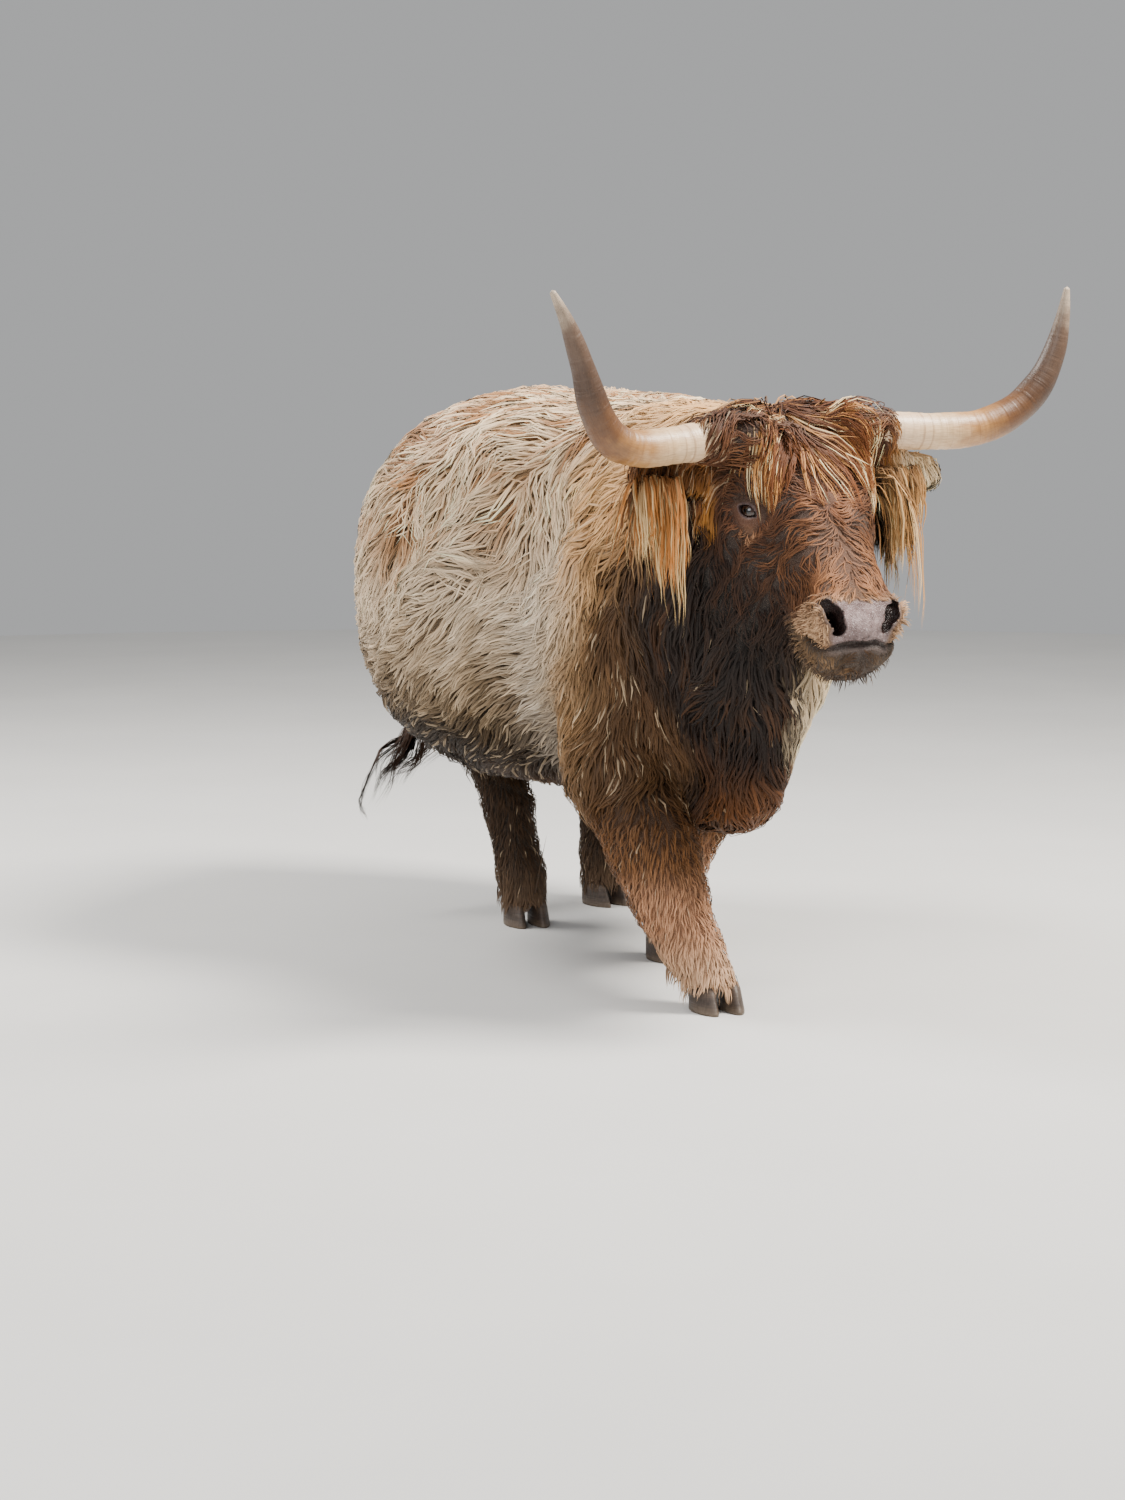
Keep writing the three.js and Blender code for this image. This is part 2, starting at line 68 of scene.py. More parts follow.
# Along y: middle, half width, level of the widest place, top, bottom, powers of the upper and lower half.
TRUNK = [
    (-500, 0, 60, 900, 938, 845, 2.4, 2.0), (-465, 0, 108, 895, 996, 760, 2.4, 2.0),
    (-425, 0, 150, 895, 1052, 640, 2.4, 1.9), (-370, -10, 176, 850, 1096, 500, 2.5, 1.65),
    (-300, -18, 192, 800, 1110, 385, 2.6, 1.25), (-210, -20, 212, 745, 1118, 340, 2.6, 1.2),
    (-100, -14, 236, 715, 1122, 328, 2.7, 1.4), (20, -8, 270, 710, 1124, 335, 2.9, 1.7),
    (150, 0, 334, 722, 1126, 345, 3.0, 2.05), (300, -4, 446, 742, 1132, 334, 3.0, 2.3),
    (450, 0, 495, 752, 1141, 326, 2.9, 2.4), (600, 14, 498, 742, 1155, 326, 2.5, 2.5),
    (750, 34, 450, 742, 1158, 368, 2.2, 2.5), (880, 52, 352, 750, 1136, 448, 2.1, 2.4),
    (980, 60, 265, 775, 1088, 560, 2.1, 2.4), (1050, 64, 175, 805, 1018, 665, 2.0, 2.2),
    (1095, 66, 50, 835, 900, 780, 2.0, 2.0),
]
# Along the head: half width, level of the widest place, top, bottom.
HEAD = [
    (-55, 30, -112, -100, -125), (-30, 95, -95, -42, -160), (0, 146, -80, -6, -185),
    (50, 158, -74, 12, -205), (105, 152, -72, 18, -222), (165, 134, -78, 15, -236),
    (225, 122, -80, 8, -222), (285, 108, -74, 2, -190), (340, 96, -66, 0, -164),
    (385, 90, -64, -2, -150), (420, 90, -66, -16, -142), (450, 88, -72, -32, -138),
    (475, 78, -82, -46, -134), (492, 54, -92, -62, -126), (503, 18, -100, -84, -114),
]
# Limbs, tail and horns: x, y, z and radius of each joint.
LIMBS = [
    [(-165, 20, 640, 130), (-172, -40, 430, 116), (-152, -150, 290, 96), (-140, -192, 205, 80),
     (-116, -232, 120, 62), (-86, -262, 58, 50)],
    [(160, 40, 640, 130), (142, 100, 430, 104), (80, 172, 290, 82), (64, 192, 215, 68),
     (56, 210, 115, 56), (56, 212, 58, 50)],
    [(-120, 790, 680, 195), (-130, 735, 480, 126), (-102, 775, 360, 76), (-86, 745, 260, 65),
     (-70, 708, 110, 56), (-67, 694, 58, 50)],
    [(190, 830, 680, 190), (205, 850, 480, 128), (212, 915, 370, 78), (208, 905, 260, 66),
     (200, 880, 110, 56), (198, 868, 58, 50)],
]
TAIL = [(60, 985, 1015, 46), (66, 1068, 975, 42), (66, 1122, 885, 37), (57, 1140, 780, 34),
        (30, 1140, 660, 36), (-30, 1115, 530, 48), (-120, 1070, 430, 52), (-205, 1030, 385, 38),
        (-275, 1000, 362, 14)]
HORNS = {
    "right": [(-105, -440, 1052, 34), (-190, -447, 1045, 33.5), (-268, -458, 1036, 32.5),
              (-334, -470, 1032, 32), (-388, -483, 1048, 31), (-425, -496, 1098, 28),
              (-453, -510, 1166, 21), (-484, -522, 1234, 14), (-519, -535, 1290, 5)],
    "left": [(100, -414, 1062, 34), (190, -418, 1061, 33.5), (280, -424, 1060, 33),
             (360, -431, 1067, 32), (430, -437, 1097, 30), (478, -443, 1144, 27),
             (505, -449, 1201, 21), (517, -456, 1260, 14), (522, -462, 1318, 5)],
}
# Feet: x, y and the degrees by which the toes turn out.
FEET = {"fore_right": (-80, -274, 4), "fore_left": (56, 206, 4),
        "hind_right": (-66, 684, 6), "hind_left": (198, 858, 6)}


def metres(rows, powers=0):
    """The rows in metres, but for the powers at their end."""
    rows = np.array(rows, dtype=float)
    rows[:, : rows.shape[1] - powers] *= 0.001
    return rows


TRUNK, HEAD, TAIL = metres(TRUNK, 2), metres(HEAD), metres(TAIL)
LIMBS = [metres(rows) for rows in LIMBS]
HORNS = {side: metres(rows) for side, rows in HORNS.items()}

slope, turn = math.radians(FACE_SLOPE), math.radians(FACE_TURN)
spin = np.array([[math.cos(turn), -math.sin(turn), 0], [math.sin(turn), math.cos(turn), 0], [0, 0, 1]])
ACROSS = spin @ np.array([1.0, 0, 0])
ALONG = spin @ np.array([0, -math.cos(slope), -math.sin(slope)])
OUT = spin @ np.array([0, -math.sin(slope), math.cos(slope)])
FACE_AXES = np.array([ACROSS, ALONG, OUT])


def in_head(p):
    """Head coordinates: u across the face, v along it from the poll, w out of the forehead."""
    return (p - POLL) @ FACE_AXES.T


def mirrored(h):
    """The same places, brought over to the left half of the head."""
    return np.stack([np.abs(h[:, 0]), h[:, 1], h[:, 2]], 1)


# The row frame's origin lies under the middle of the box; the eye says how far that is.
SHIFT = POLL + (EYE_AT * [-1, 1, 1]) @ FACE_AXES - np.sum(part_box("eye_right"), axis=0) / 2
SHIFT[2] = 0.0


# ---- noise, smooth steps ---------------------------------------------------------------------------
def noise(p, size, seed):
    """Smooth waves in three dimensions, about -1 to 1, with features about size across."""
    dice = np.random.default_rng(seed)
    total = np.zeros(len(p))
    for _ in range(6):
        direction = dice.normal(size=3)
        direction /= np.linalg.norm(direction)
        pitch = 2 * math.pi / (size * (0.7 + 0.9 * dice.random()))
        phase = dice.random() * 6.283
        total += np.sin(p @ direction * pitch + phase + 1.3 * np.sin(p @ dice.normal(size=3) * pitch * 0.4))
    return total / 2.6


def step(low, high, x):
    """0 below low, 1 above high, smooth between; falling where high is the lower one."""
    t = np.clip((x - low) / (high - low), 0, 1)
    return t * t * (3 - 2 * t)


def bump(x, centre, width):
    """1 at the centre, fading to nothing about twice the width away."""
    return np.exp(-(((x - centre) / width) ** 2))


def unit(v):
    return v / np.maximum(np.linalg.norm(v, axis=-1, keepdims=True), 1e-9)


# ---- the body as a field of distance ---------------------------------------------------------------
TABLE_ROWS = 1500


def table(rows):
    """The rows' own smooth curve, read off at TABLE_ROWS places."""
    at = rows[:, 0]
    slopes = np.empty_like(rows)
    slopes[1:-1] = (rows[2:] - rows[:-2]) / (at[2:] - at[:-2])[:, None]
    slopes[0] = (rows[1] - rows[0]) / (at[1] - at[0])
    slopes[-1] = (rows[-1] - rows[-2]) / (at[-1] - at[-2])
    s = np.linspace(at[0], at[-1], TABLE_ROWS)
    i = np.clip(np.searchsorted(at, s) - 1, 0, len(at) - 2)
    span = (at[i + 1] - at[i])[:, None]
    t = np.clip((s[:, None] - at[i][:, None]) / span, 0, 1)
    t2, t3 = t * t, t ** 3
    out = ((2 * t3 - 3 * t2 + 1) * rows[i] + (t3 - 2 * t2 + t) * span * slopes[i]
           + (3 * t2 - 2 * t3) * rows[i + 1] + (t3 - t2) * span * slopes[i + 1])
    out[:, 0] = s
    return out


TRUNK_TABLE, HEAD_TABLE = table(TRUNK), table(HEAD)


def blend(a, b, width):
    """The nearer of two distances, with the corner between them rounded over the width."""
    h = np.maximum(width - np.abs(a - b), 0) / width
    return np.minimum(a, b) - h * h * width * 0.25


def sectioned(rows, s, across, up, centre, half, widest, top, bottom, upper, lower):
    """Distance to a body of rounded sections, s being the place along it."""
    x = np.abs(across - centre)
    z = up - widest
    over = z > 0
    tall = np.maximum(np.where(over, top - widest, widest - bottom), 0.001)
    power = np.where(over, upper, lower)
    reach = (x / np.maximum(half, 0.001)) ** power + (np.abs(z) / tall) ** power
    r = np.hypot(x, z)
    side = r * (1 - 1 / np.maximum(reach, 1e-9) ** (1 / power))
    side = np.where(r < 1e-5, -np.minimum(half, tall), side)
    past = np.maximum(rows[0, 0] - s, s - rows[-1, 0])
    return np.where(past > 0, np.hypot(np.maximum(side, 0), past), side)


def bone(p, a, b, ra, rb):
    """Distance to a cone with round ends."""
    line = np.array(b) - np.array(a)
    t = np.clip((p - a) @ line / (line @ line), 0, 1)
    return np.linalg.norm(p - a - t[:, None] * line, axis=1) - (ra + (rb - ra) * t)


def limb(p, joints, width):
    """Distance to the cones from joint to joint."""
    d = bone(p, joints[0, :3], joints[1, :3], joints[0, 3], joints[1, 3])
    for a, b in zip(joints[1:-1], joints[2:]):
        d = blend(d, bone(p, a[:3], b[:3], a[3], b[3]), width)
    return d


def ball(p, centre, radii):
    """Distance to a ball with a radius along each axis."""
    q = (p - centre) / radii
    k = np.linalg.norm(q, axis=1)
    g = np.linalg.norm(q / radii, axis=1)
    return np.where(g > 1e-9, k * (k - 1) / np.maximum(g, 1e-9), -min(radii))


def swell(d, p, *balls):
    """The distance with balls blended in: centre, radii and width of each blend."""
    for centre, radii, width in balls:
        d = blend(d, ball(p, centre, radii), width)
    return d


def trunk_field(p):
    """Distance to neck, trunk and rump, with the brisket and the floor of the chest blended in."""
    s = p[:, 1]
    cols = [np.interp(s, TRUNK_TABLE[:, 0], TRUNK_TABLE[:, k]) for k in range(1, 8)]
    return swell(sectioned(TRUNK, s, p[:, 0], p[:, 2], *cols), p,
                 ([-0.030, -0.322, 0.430], [0.066, 0.066, 0.080], 0.08),
                 ([-0.020, -0.185, 0.375], [0.080, 0.120, 0.062], 0.07))


def head_field(h):
    """Distance to the head: its sections, the brows, jaw corners, wings of the nostrils and lower lip."""
    u, v, w = h.T
    cols = [np.interp(v, HEAD_TABLE[:, 0], HEAD_TABLE[:, k]) for k in range(1, 5)]
    d = swell(sectioned(HEAD, v, u, w, 0.0, *cols, 2.5, 2.2), mirrored(h),
              ([0.098, 0.140, -0.048], [0.040, 0.034, 0.034], 0.026),
              ([0.080, 0.215, -0.150], [0.044, 0.070, 0.070], 0.040),
              ([0.056, 0.420, -0.030], [0.032, 0.030, 0.024], 0.022))
    return swell(d, h, ([0, 0.452, -0.112], [0.052, 0.034, 0.026], 0.022))


def ear_leaf(p, side):
    """The ear itself: a thin leaf held out sideways, cupped forward and down."""
    x = p[:, 0] * side - (0.012 if side < 0 else -0.014)
    z = p[:, 2]
    t = (x - 0.11) / 0.185
    middle = 0.990 + 0.004 * t
    y = p[:, 1] + 0.386 + 0.022 * t + 5.0 * (z - middle) ** 2 * step(0.05, 0.35, t)
    tall = 0.036 * np.sqrt(np.clip(1 - (np.clip(t, 0, 1.1) * 1.25 - 0.42) ** 2, 0.004, 1))
    thick = 0.012 + 0.012 * (1 - step(0, 0.4, t))
    k = np.sqrt(((z - middle) / tall) ** 2 + (y / thick) ** 2)
    d = (k - 1) * np.minimum(tall, thick)
    return np.maximum(d, np.maximum(t - 1, -0.25 - t) * 0.185)


def body_field(p):
    """Distance to the tips of the coat, as the solids have it, without ears, udder and tail."""
    d = blend(trunk_field(p), head_field(in_head(p)), 0.05)
    if p[:, 2].min() < 0.95:
        for joints in LIMBS:
            d = blend(d, limb(p, joints, 0.026), 0.06)
    return d


def head_share(p):
    """1 on the head, 0 on the neck."""
    y, z = p[:, 1], p[:, 2]
    front = (-0.318 - y) * 0.9927 + (z - 1.180) * 0.1205
    above = (z - 0.735) * 0.816 + (-0.372 - y) * 0.578
    return step(-0.03, 0.03, np.minimum(front, above))


def coat_depth(p):
    """How far the skin lies inside the tips of the coat."""
    v, w = in_head(p)[:, 1:].T
    body = np.interp(p[:, 2], [0.05, 0.09, 0.16, 0.30, 0.42, 0.60],
                     [0.009, 0.012, 0.017, 0.026, 0.034, 0.034])
    face = np.interp(v, [-0.03, 0.06, 0.12, 0.17, 0.30, 0.40, 0.45],
                     [0.026, 0.022, 0.014, 0.008, 0.007, 0.003, 0.001])
    jaw = 0.010 * step(-0.10, -0.17, w) * (1 - step(0.36, 0.44, v))
    share = head_share(p)
    return body * (1 - share) + (face + jaw) * share


# Eyes: the way each looks, and the line from its outer to its inner corner.
EYE_OUT = unit(np.array([0.87, 0.23, 0.447]))
EYE_LONG = np.array([0, 0.80, 0.60])
EYE_LONG = unit(EYE_LONG - EYE_OUT * (EYE_LONG @ EYE_OUT))
EYE_UP = np.cross(EYE_OUT, EYE_LONG)
EYE_UP *= math.copysign(1, EYE_UP @ np.array([0, -0.84, 0.54]))


def eye_frame(h):
    """Distance ahead of, along, above and from the middle of the nearer eye."""
    side = mirrored(h) - EYE_AT
    return side @ EYE_OUT, side @ EYE_LONG, side @ EYE_UP, np.linalg.norm(side, axis=1)


def eye_slit(along, above):
    """How far a place lies outside the opening between the lids."""
    bow = np.clip(1 - (along / SLIT_LENGTH) ** 2, -2, 1)
    return np.maximum(above - SLIT_ABOVE * bow, -above - SLIT_BELOW * bow)


def nostril(h):
    """A comma on each side of the nose, wide above and drawn out towards the lip."""
    side = mirrored(h)
    high, middle, low = [0.0700, 0.4080, -0.0150], [0.0600, 0.4270, -0.0165], [0.0485, 0.4430, -0.0305]
    d = bone(side, high, middle, 0.0120, 0.0158)
    for start, end, wide, narrow, width in ((middle, low, 0.0158, 0.0128, 0.006),
                                            (high, [0.079, 0.400, -0.028], 0.009, 0.003, 0.008),
                                            (middle, [0.038, 0.414, -0.066], 0.0140, 0.008, 0.008),
                                            (low, [0.036, 0.424, -0.066], 0.0110, 0.007, 0.006)):
        d = blend(d, bone(side, start, end, wide, narrow), width)
    return d + 0.0022 * step(-0.01, 0.01, h[:, 0])


def mouth_line(h):
    """Distance above the line of the mouth, and how much of the line there is."""
    u, v, w = h.T
    rise = (w + 0.046) - (v - 0.478) * 0.293
    sag = -0.012 * step(0.02, 0.07, np.abs(u)) + 0.004
    return rise - sag, step(0.395, 0.445, v) * (1 - step(0.50, 0.56, v))


def add_face(d, h):
    """The skin of the face: bones, nose, lips, nostrils and lids."""
    u, v, w = h.T
    side = mirrored(h)
    # A dip before each eye, and the flat of the nose.
    d = d + 0.007 * bump(np.hypot(side[:, 0] - 0.085, (v - 0.245) / 2.2), 0, 0.024) * step(-0.09, -0.03, w)
    d = d + 0.009 * bump(side[:, 0], 0.095, 0.03) * bump(v, 0.325, 0.045) * step(-0.13, -0.06, w)
    # Nose pad, the wings of the nostrils and the upper lip.
    d = swell(d, h, ([0, 0.430, -0.050], [0.052, 0.038, 0.038], 0.012))
    d = swell(d, side, ([0.066, 0.416, -0.034], [0.026, 0.028, 0.028], 0.014),
              ([0.052, 0.440, -0.078], [0.036, 0.038, 0.022], 0.014))
    rise, there = mouth_line(h)
    d = d + there * 0.012 * bump(rise, 0, 0.0045)
    d = d + 0.0030 * bump(u, 0, 0.0030) * step(0.452, 0.466, v)
    d = np.maximum(d, -nostril(h))
    # Lids over each eyeball, with folds above and below.
    ahead, along, above, far = eye_frame(h)
    d = blend(d, far - (EYE_RADIUS + LID_DEPTH), 0.014)
    slant = step(0.1, 0.5, np.abs(above) / np.maximum(far, 1e-6))
    d = d + 0.0034 * bump(np.hypot(along * 0.85, above), 0.0290, 0.0026) * slant * step(0, 0.01, ahead)
    d = np.maximum(d, -np.maximum(eye_slit(along, above), 0.004 - ahead))
    return np.maximum(d, EYE_RADIUS - EYE_CLEARANCE - far)


def add_ear(d, p, side):
    """The ear, and the collar of skin round the root of the horn."""
    d = blend(d, ear_leaf(p, side), 0.03)
    horn = HORNS["left" if side > 0 else "right"]
    aim = unit(horn[1, :3] - horn[0, :3])
    reach = 0.084 if side < 0 else 0.056
    return blend(d, bone(p, horn[0, :3] + 0.016 * aim, horn[0, :3] + reach * aim, 0.044, 0.033), 0.035)


def add_udder(d, p):
    """The bag and its four teats."""
    d = swell(d, p, (*UDDER, 0.03))
    for x, y in TEATS:
        d = blend(d, bone(p, [x, y, TEAT_TOP], [x, y, TEAT_TIP], 0.012, 0.009), 0.012)
    return d


def skin_field(p):
    """Distance to the skin."""
    x, y, z = p.T
    h = in_head(p)
    d = body_field(p) + coat_depth(p)

    def add(here, part, *places):
        if here.any():
            d[here] = part(d[here], *places)

    near = (np.abs(h[:, 0]) < 0.2) & (h[:, 1] > -0.1) & (h[:, 1] < 0.6) & (np.abs(h[:, 2] + 0.1) < 0.2)
    add(near, add_face, h[near])
    for side in (-1, 1):
        close = (x * side > 0.05) & (x * side < 0.36) & (z > 0.88) & (y < -0.30)
        add(close, add_ear, p[close], side)
    low = (z < 0.52) & (y > 0.62) & (y < 1.0)
    add(low, add_udder, p[low])
    d = np.maximum(d, SKIN_FROM - z)
    behind = y > 0.93
    if behind.any():
        d[behind] = blend(d[behind], limb(p[behind], TAIL[:6] * [1, 1, 1, 0.55], 0.02), 0.05)
    return d


def gradient(field, p, e=0.002):
    steps = e * np.eye(3)
    return np.stack([field(p + move) - field(p - move) for move in steps], 1) / (2 * e)


# ---- the skin's mesh -------------------------------------------------------------------------------
def lines(start, *runs):
    """Grid lines from start: (to, spacing) runs in order."""
    out = [start]
    for end, gap in runs:
        count = max(int(round((end - out[-1]) / gap)), 1)
        out += list(np.linspace(out[-1], end, count + 1)[1:])
    return np.array(out)


def surface_net(grid, field):
    """Quads round the field's zero level, with one point in each cell that the surface crosses."""
    gx, gy = np.meshgrid(grid[0], grid[1], indexing="ij")
    f = np.empty([len(marks) for marks in grid], dtype=np.float32)
    for k, z in enumerate(grid[2]):
        f[:, :, k] = field(np.stack([gx.ravel(), gy.ravel(), np.full(gx.size, z)], 1)).reshape(gx.shape)
    inside = f < 0
    corners = [(i, j, k) for i in (0, 1) for j in (0, 1) for k in (0, 1)]
    cells = [n - 1 for n in f.shape]
    count = sum(inside[i:cells[0] + i, j:cells[1] + j, k:cells[2] + k].astype(np.int8) for i, j, k in corners)
    active = (count > 0) & (count < 8)
    index = -np.ones(active.shape, dtype=np.int64)
    index[active] = np.arange(active.sum())
    cell = np.stack(np.nonzero(active), 1)
    total = np.zeros((len(cell), 3))
    number = np.zeros(len(cell))
    for a in corners:
        for axis in range(3):
            if a[axis]:
                continue
            first = cell + a
            last = first + np.eye(3, dtype=int)[axis]
            fa, fb = f[tuple(first.T)], f[tuple(last.T)]
            cross = (fa < 0) != (fb < 0)
            t = np.where(cross, fa / np.where(fa == fb, 1, fa - fb), 0)
            pa, pb = [np.stack([grid[m][ends[:, m]] for m in range(3)], 1) for ends in (first, last)]
            total += (pa + (pb - pa) * t[:, None]) * cross[:, None]
            number += cross
    quads = []
    for axis in range(3):
        a, b = [m for m in range(3) if m != axis]
        here, there = [slice(None)] * 3, [slice(None)] * 3
        here[axis], there[axis] = slice(0, -1), slice(1, None)
        at = np.stack(np.nonzero(inside[tuple(here)] != inside[tuple(there)]), 1)
        for m in (a, b):
            at = at[(at[:, m] > 0) & (at[:, m] < len(grid[m]) - 1)]
        ring = []
        for da, db in ((-1, -1), (0, -1), (0, 0), (-1, 0)):
            c = at.copy()
            c[:, a] += da
            c[:, b] += db
            ring.append(index[tuple(c.T)])
        q = np.stack(ring, 1)
        keep = (q >= 0).all(1)
        q, solid = q[keep], inside[tuple(at.T)][keep]
        turned = solid if axis == 1 else ~solid
        q[turned] = q[turned][:, ::-1]
        quads.append(q)
    return total / number[:, None], np.concatenate(quads)


def largest(verts, quads):
    """The biggest connected part only."""
    label = np.arange(len(verts))
    while True:
        new = label.copy()
        np.minimum.at(new, quads.ravel(), np.repeat(label[quads].min(1), 4))
        new = new[new]
        if (new == label).all():
            break
        label = new
    names, sizes = np.unique(label, return_counts=True)
    keep = label == names[sizes.argmax()]
    number = np.cumsum(keep) - 1
    return verts[keep], number[quads[keep[quads[:, 0]]]]


def make_mesh(name, slot, verts, loops, starts):
    """A smooth mesh object on the one body, from its faces' corners and where each face begins."""
    me = bpy.data.meshes.new(name)
    me.vertices.add(len(verts))
    me.vertices.foreach_set("co", np.asarray(verts - SHIFT, dtype=np.float32).ravel())
    me.loops.add(len(loops))
    me.loops.foreach_set("vertex_index", np.asarray(loops, dtype=np.int32))
    me.polygons.add(len(starts))
    me.polygons.foreach_set("loop_start", np.asarray(starts, dtype=np.int32))
    me.update(calc_edges=True)
    me.polygons.foreach_set("use_smooth", np.full(len(starts), True))
    ob = bpy.data.objects.new(name, me)
    bpy.context.scene.collection.objects.link(ob)
    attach(ob, "root")
    return ob


def paint(ob, name, values):
    """A point attribute: a colour where it has four columns, a vector where three, a number where one."""
    values = np.asarray(values, dtype=np.float32)
    kind, key = {1: ("FLOAT", "value"), 3: ("FLOAT_VECTOR", "vector"), 4: ("FLOAT_COLOR", "color")}[
        values.shape[1] if values.ndim > 1 else 1]
    ob.data.attributes.new(name, kind, "POINT").data.foreach_set(key, values.ravel())


def paint_coat(ob, colour):
    paint(ob, "coat", np.concatenate([colour, np.ones((len(colour), 1))], 1))


# ---- colours: one function of place, for skin and coat ----------------------------------------------
def rgb(*values):
    """A colour given as 0-255 display values, as the shaders count it."""
    v = np.array(values, dtype=float) / 255
    return np.where(v <= 0.04045, v / 12.92, ((v + 0.055) / 1.055) ** 2.4)


def mix(a, b, t):
    """Colour a turned into b by the share t at each place."""
    t = np.asarray(t)[:, None]
    return a * (1 - t) + b * t


def rich(colour, amount=1.28):
    """The colour with its distance from grey stretched."""
    grey = colour @ np.array([0.30, 0.59, 0.11])
    return np.clip(grey[:, None] + amount * (colour - grey[:, None]), 0.004, 1)


def drawn(p, flow, amount=0.65):
    """Places squeezed along a direction, so that noise of them runs in streaks that way."""
    flow = unit(np.array(flow))
    return p - amount * (p @ flow)[:, None] * flow


class Coat:
    """Root colour and tip colour at each of a number of places, painted layer over layer."""

    def __init__(self, count, root, tip):
        self.count = count
        self.root = self.flat(root)
        self.tip = self.flat(tip)

    def flat(self, colour):
        return np.tile(rgb(*colour), (self.count, 1))

    def between(self, a, b, share):
        return mix(self.flat(a), rgb(*b), share)

    def tint(self, share, root, tip, of_root=1.0, of_tip=1.0):
        """Bring roots and tips nearer to new colours, by the share at each place."""
        self.root = mix(self.root, rgb(*root), of_root * share)
        self.tint_tip(share, tip, of_tip)

    def tint_tip(self, share, tip, of_tip=1.0):
        self.tip = mix(self.tip, rgb(*tip) if isinstance(tip, tuple) else tip, of_tip * share)


DOWN_THE_RIBS = (0, 0.5, -0.9)


def paint_trunk(c, p, way, patch, small, streak):
    """Cream back, grey-dun flanks and tan shoulders; the dark belly and lower flanks are painted shade."""
    y, z = p[:, 1], p[:, 2]
    # Cream locks over the back and upper ribs; rust-brown between their rows, partly the coat's own colour
    # and partly painted shade between the locks.
    upper = step(0.76, 0.98, z + 0.03 * patch)
    c.tint(upper, (164, 122, 84), (255, 234, 206))
    wide = noise(drawn(p, DOWN_THE_RIBS, 0.55), 0.10, 15)
    rows = upper * step(-0.25, 0.05, y) * step(-0.05, 0.6, 0.6 * streak + 0.7 * wide)
    c.tint(rows, (96, 58, 33), (166, 115, 73), 0.95, 0.85)
    c.tint(step(1.02, 1.08, z) * step(0.35, 0.75, y), (126, 84, 56), (188, 150, 116), 0.6, 0.6)
    # Grey-dun flank, with painted shade darkening it towards the belly.
    c.tint(1 - step(0.50, 0.77, z + 0.04 * small), (68, 52, 36), (110, 90, 65))
    painted_belly_shade = 1 - step(0.44, 0.64, z + 0.03 * small)
    c.tint(painted_belly_shade, (32, 24, 16), (52, 41, 28))
    c.tint_tip((1 - upper) * (1 - painted_belly_shade) * step(0.1, 0.9, streak), (206, 184, 156), 0.5)
    # Painted shade where the skin faces down, low on the body.
    c.tint(step(-0.30, -0.80, way[:, 2]) * (1 - step(0.42, 0.58, z)), (30, 22, 15), (48, 37, 26))
    # Silver edge where the shoulder meets the ribs.
    edge = bump(y, 0.07 + 0.16 * (0.8 - z), 0.05) * step(0.36, 0.52, z) * (1 - step(0.86, 0.96, z))
    c.tint(edge * (0.45 + 0.35 * step(-0.2, 0.7, streak)), (150, 128, 106), (226, 214, 198), 0.5)
    # Shoulder: tan above, browner below.
    fore = step(0.05, -0.10, y)
    c.tint(fore, (164, 118, 82), (236, 197, 154))
    c.tint(fore * (1 - step(0.70, 0.88, z + 0.8 * (y + 0.05) + 0.03 * small)), (48, 34, 24), (90, 68, 49))


def paint_neck(c, p, patch, small, streak):
    """Dark brown neck and breast with a few russet locks, the front darkened further by painted shade under
    the head; the paler left side of both is partly the coat's own cream and partly painted sunlight.
    """
    x, y, z = p.T
    # Painted shade: the front of the neck and chest, under the head, darker than the coat's own dark brown,
    # with russet locks in it.
    front = step(-0.11, -0.24, y + 0.03 * patch + 0.10 * step(0.80, 0.94, z)) * (1 - step(1.0, 1.09, z))
    c.tint(front, (15, 10, 6), c.between((33, 22, 14), (74, 49, 31), 0.7 * step(0.2, 1.0, streak)))
    # Painted sunlight: the left side of neck and shoulder, cream coat made paler still.
    left = step(-0.01, 0.05, x + 0.02 * small) * step(0.44, 0.54, z + 0.3 * np.maximum(-0.30 - y, 0))
    c.tint(left * (1 - step(0.74, 0.92, z)) * step(0.05, -0.10, y), (196, 166, 130), (250, 234, 206))
    breast = step(-0.20, -0.30, y) * (1 - step(0.42, 0.56, z))
    c.tint(breast, (46, 29, 19), (112, 74, 48), 1.0, 0.8)
    # The left side of the breast paler, partly painted sunlight.
    c.tint(breast * step(-0.01, 0.05, x), (84, 58, 40), (172, 132, 98))


def paint_limbs(c, p, way):
    """Legs brown above, with a pinkish tan down the front of the fore ones and over the feet; tail."""
    y, z = p[:, 1], p[:, 2]
    leg = 1 - step(0.30, 0.44, z)
    hind = step(0.3, 0.5, y)
    fore_leg = leg * (1 - hind)
    c.tint(fore_leg, (66, 45, 31), (124, 90, 64))
    shin = fore_leg * (1 - step(0.20, 0.30, z)) * step(0.35, -0.45, way[:, 1])
    c.tint(shin, (150, 108, 84), (208, 166, 138), 0.9, 0.9)
    c.tint(leg * hind, (36, 26, 18), (68, 51, 37))
    foot = (1 - step(0.08, 0.17, z)) * (0.18 + 0.82 * (1 - hind))
    c.tint(foot, (160, 126, 100), (224, 196, 170), 0.7, 0.8)
    tail = step(1.04, 1.10, y)
    c.tint(tail, (92, 64, 45), (148, 112, 82))
    c.tint(tail * step(0.66, 0.50, z), (60, 42, 30), (62, 44, 33))


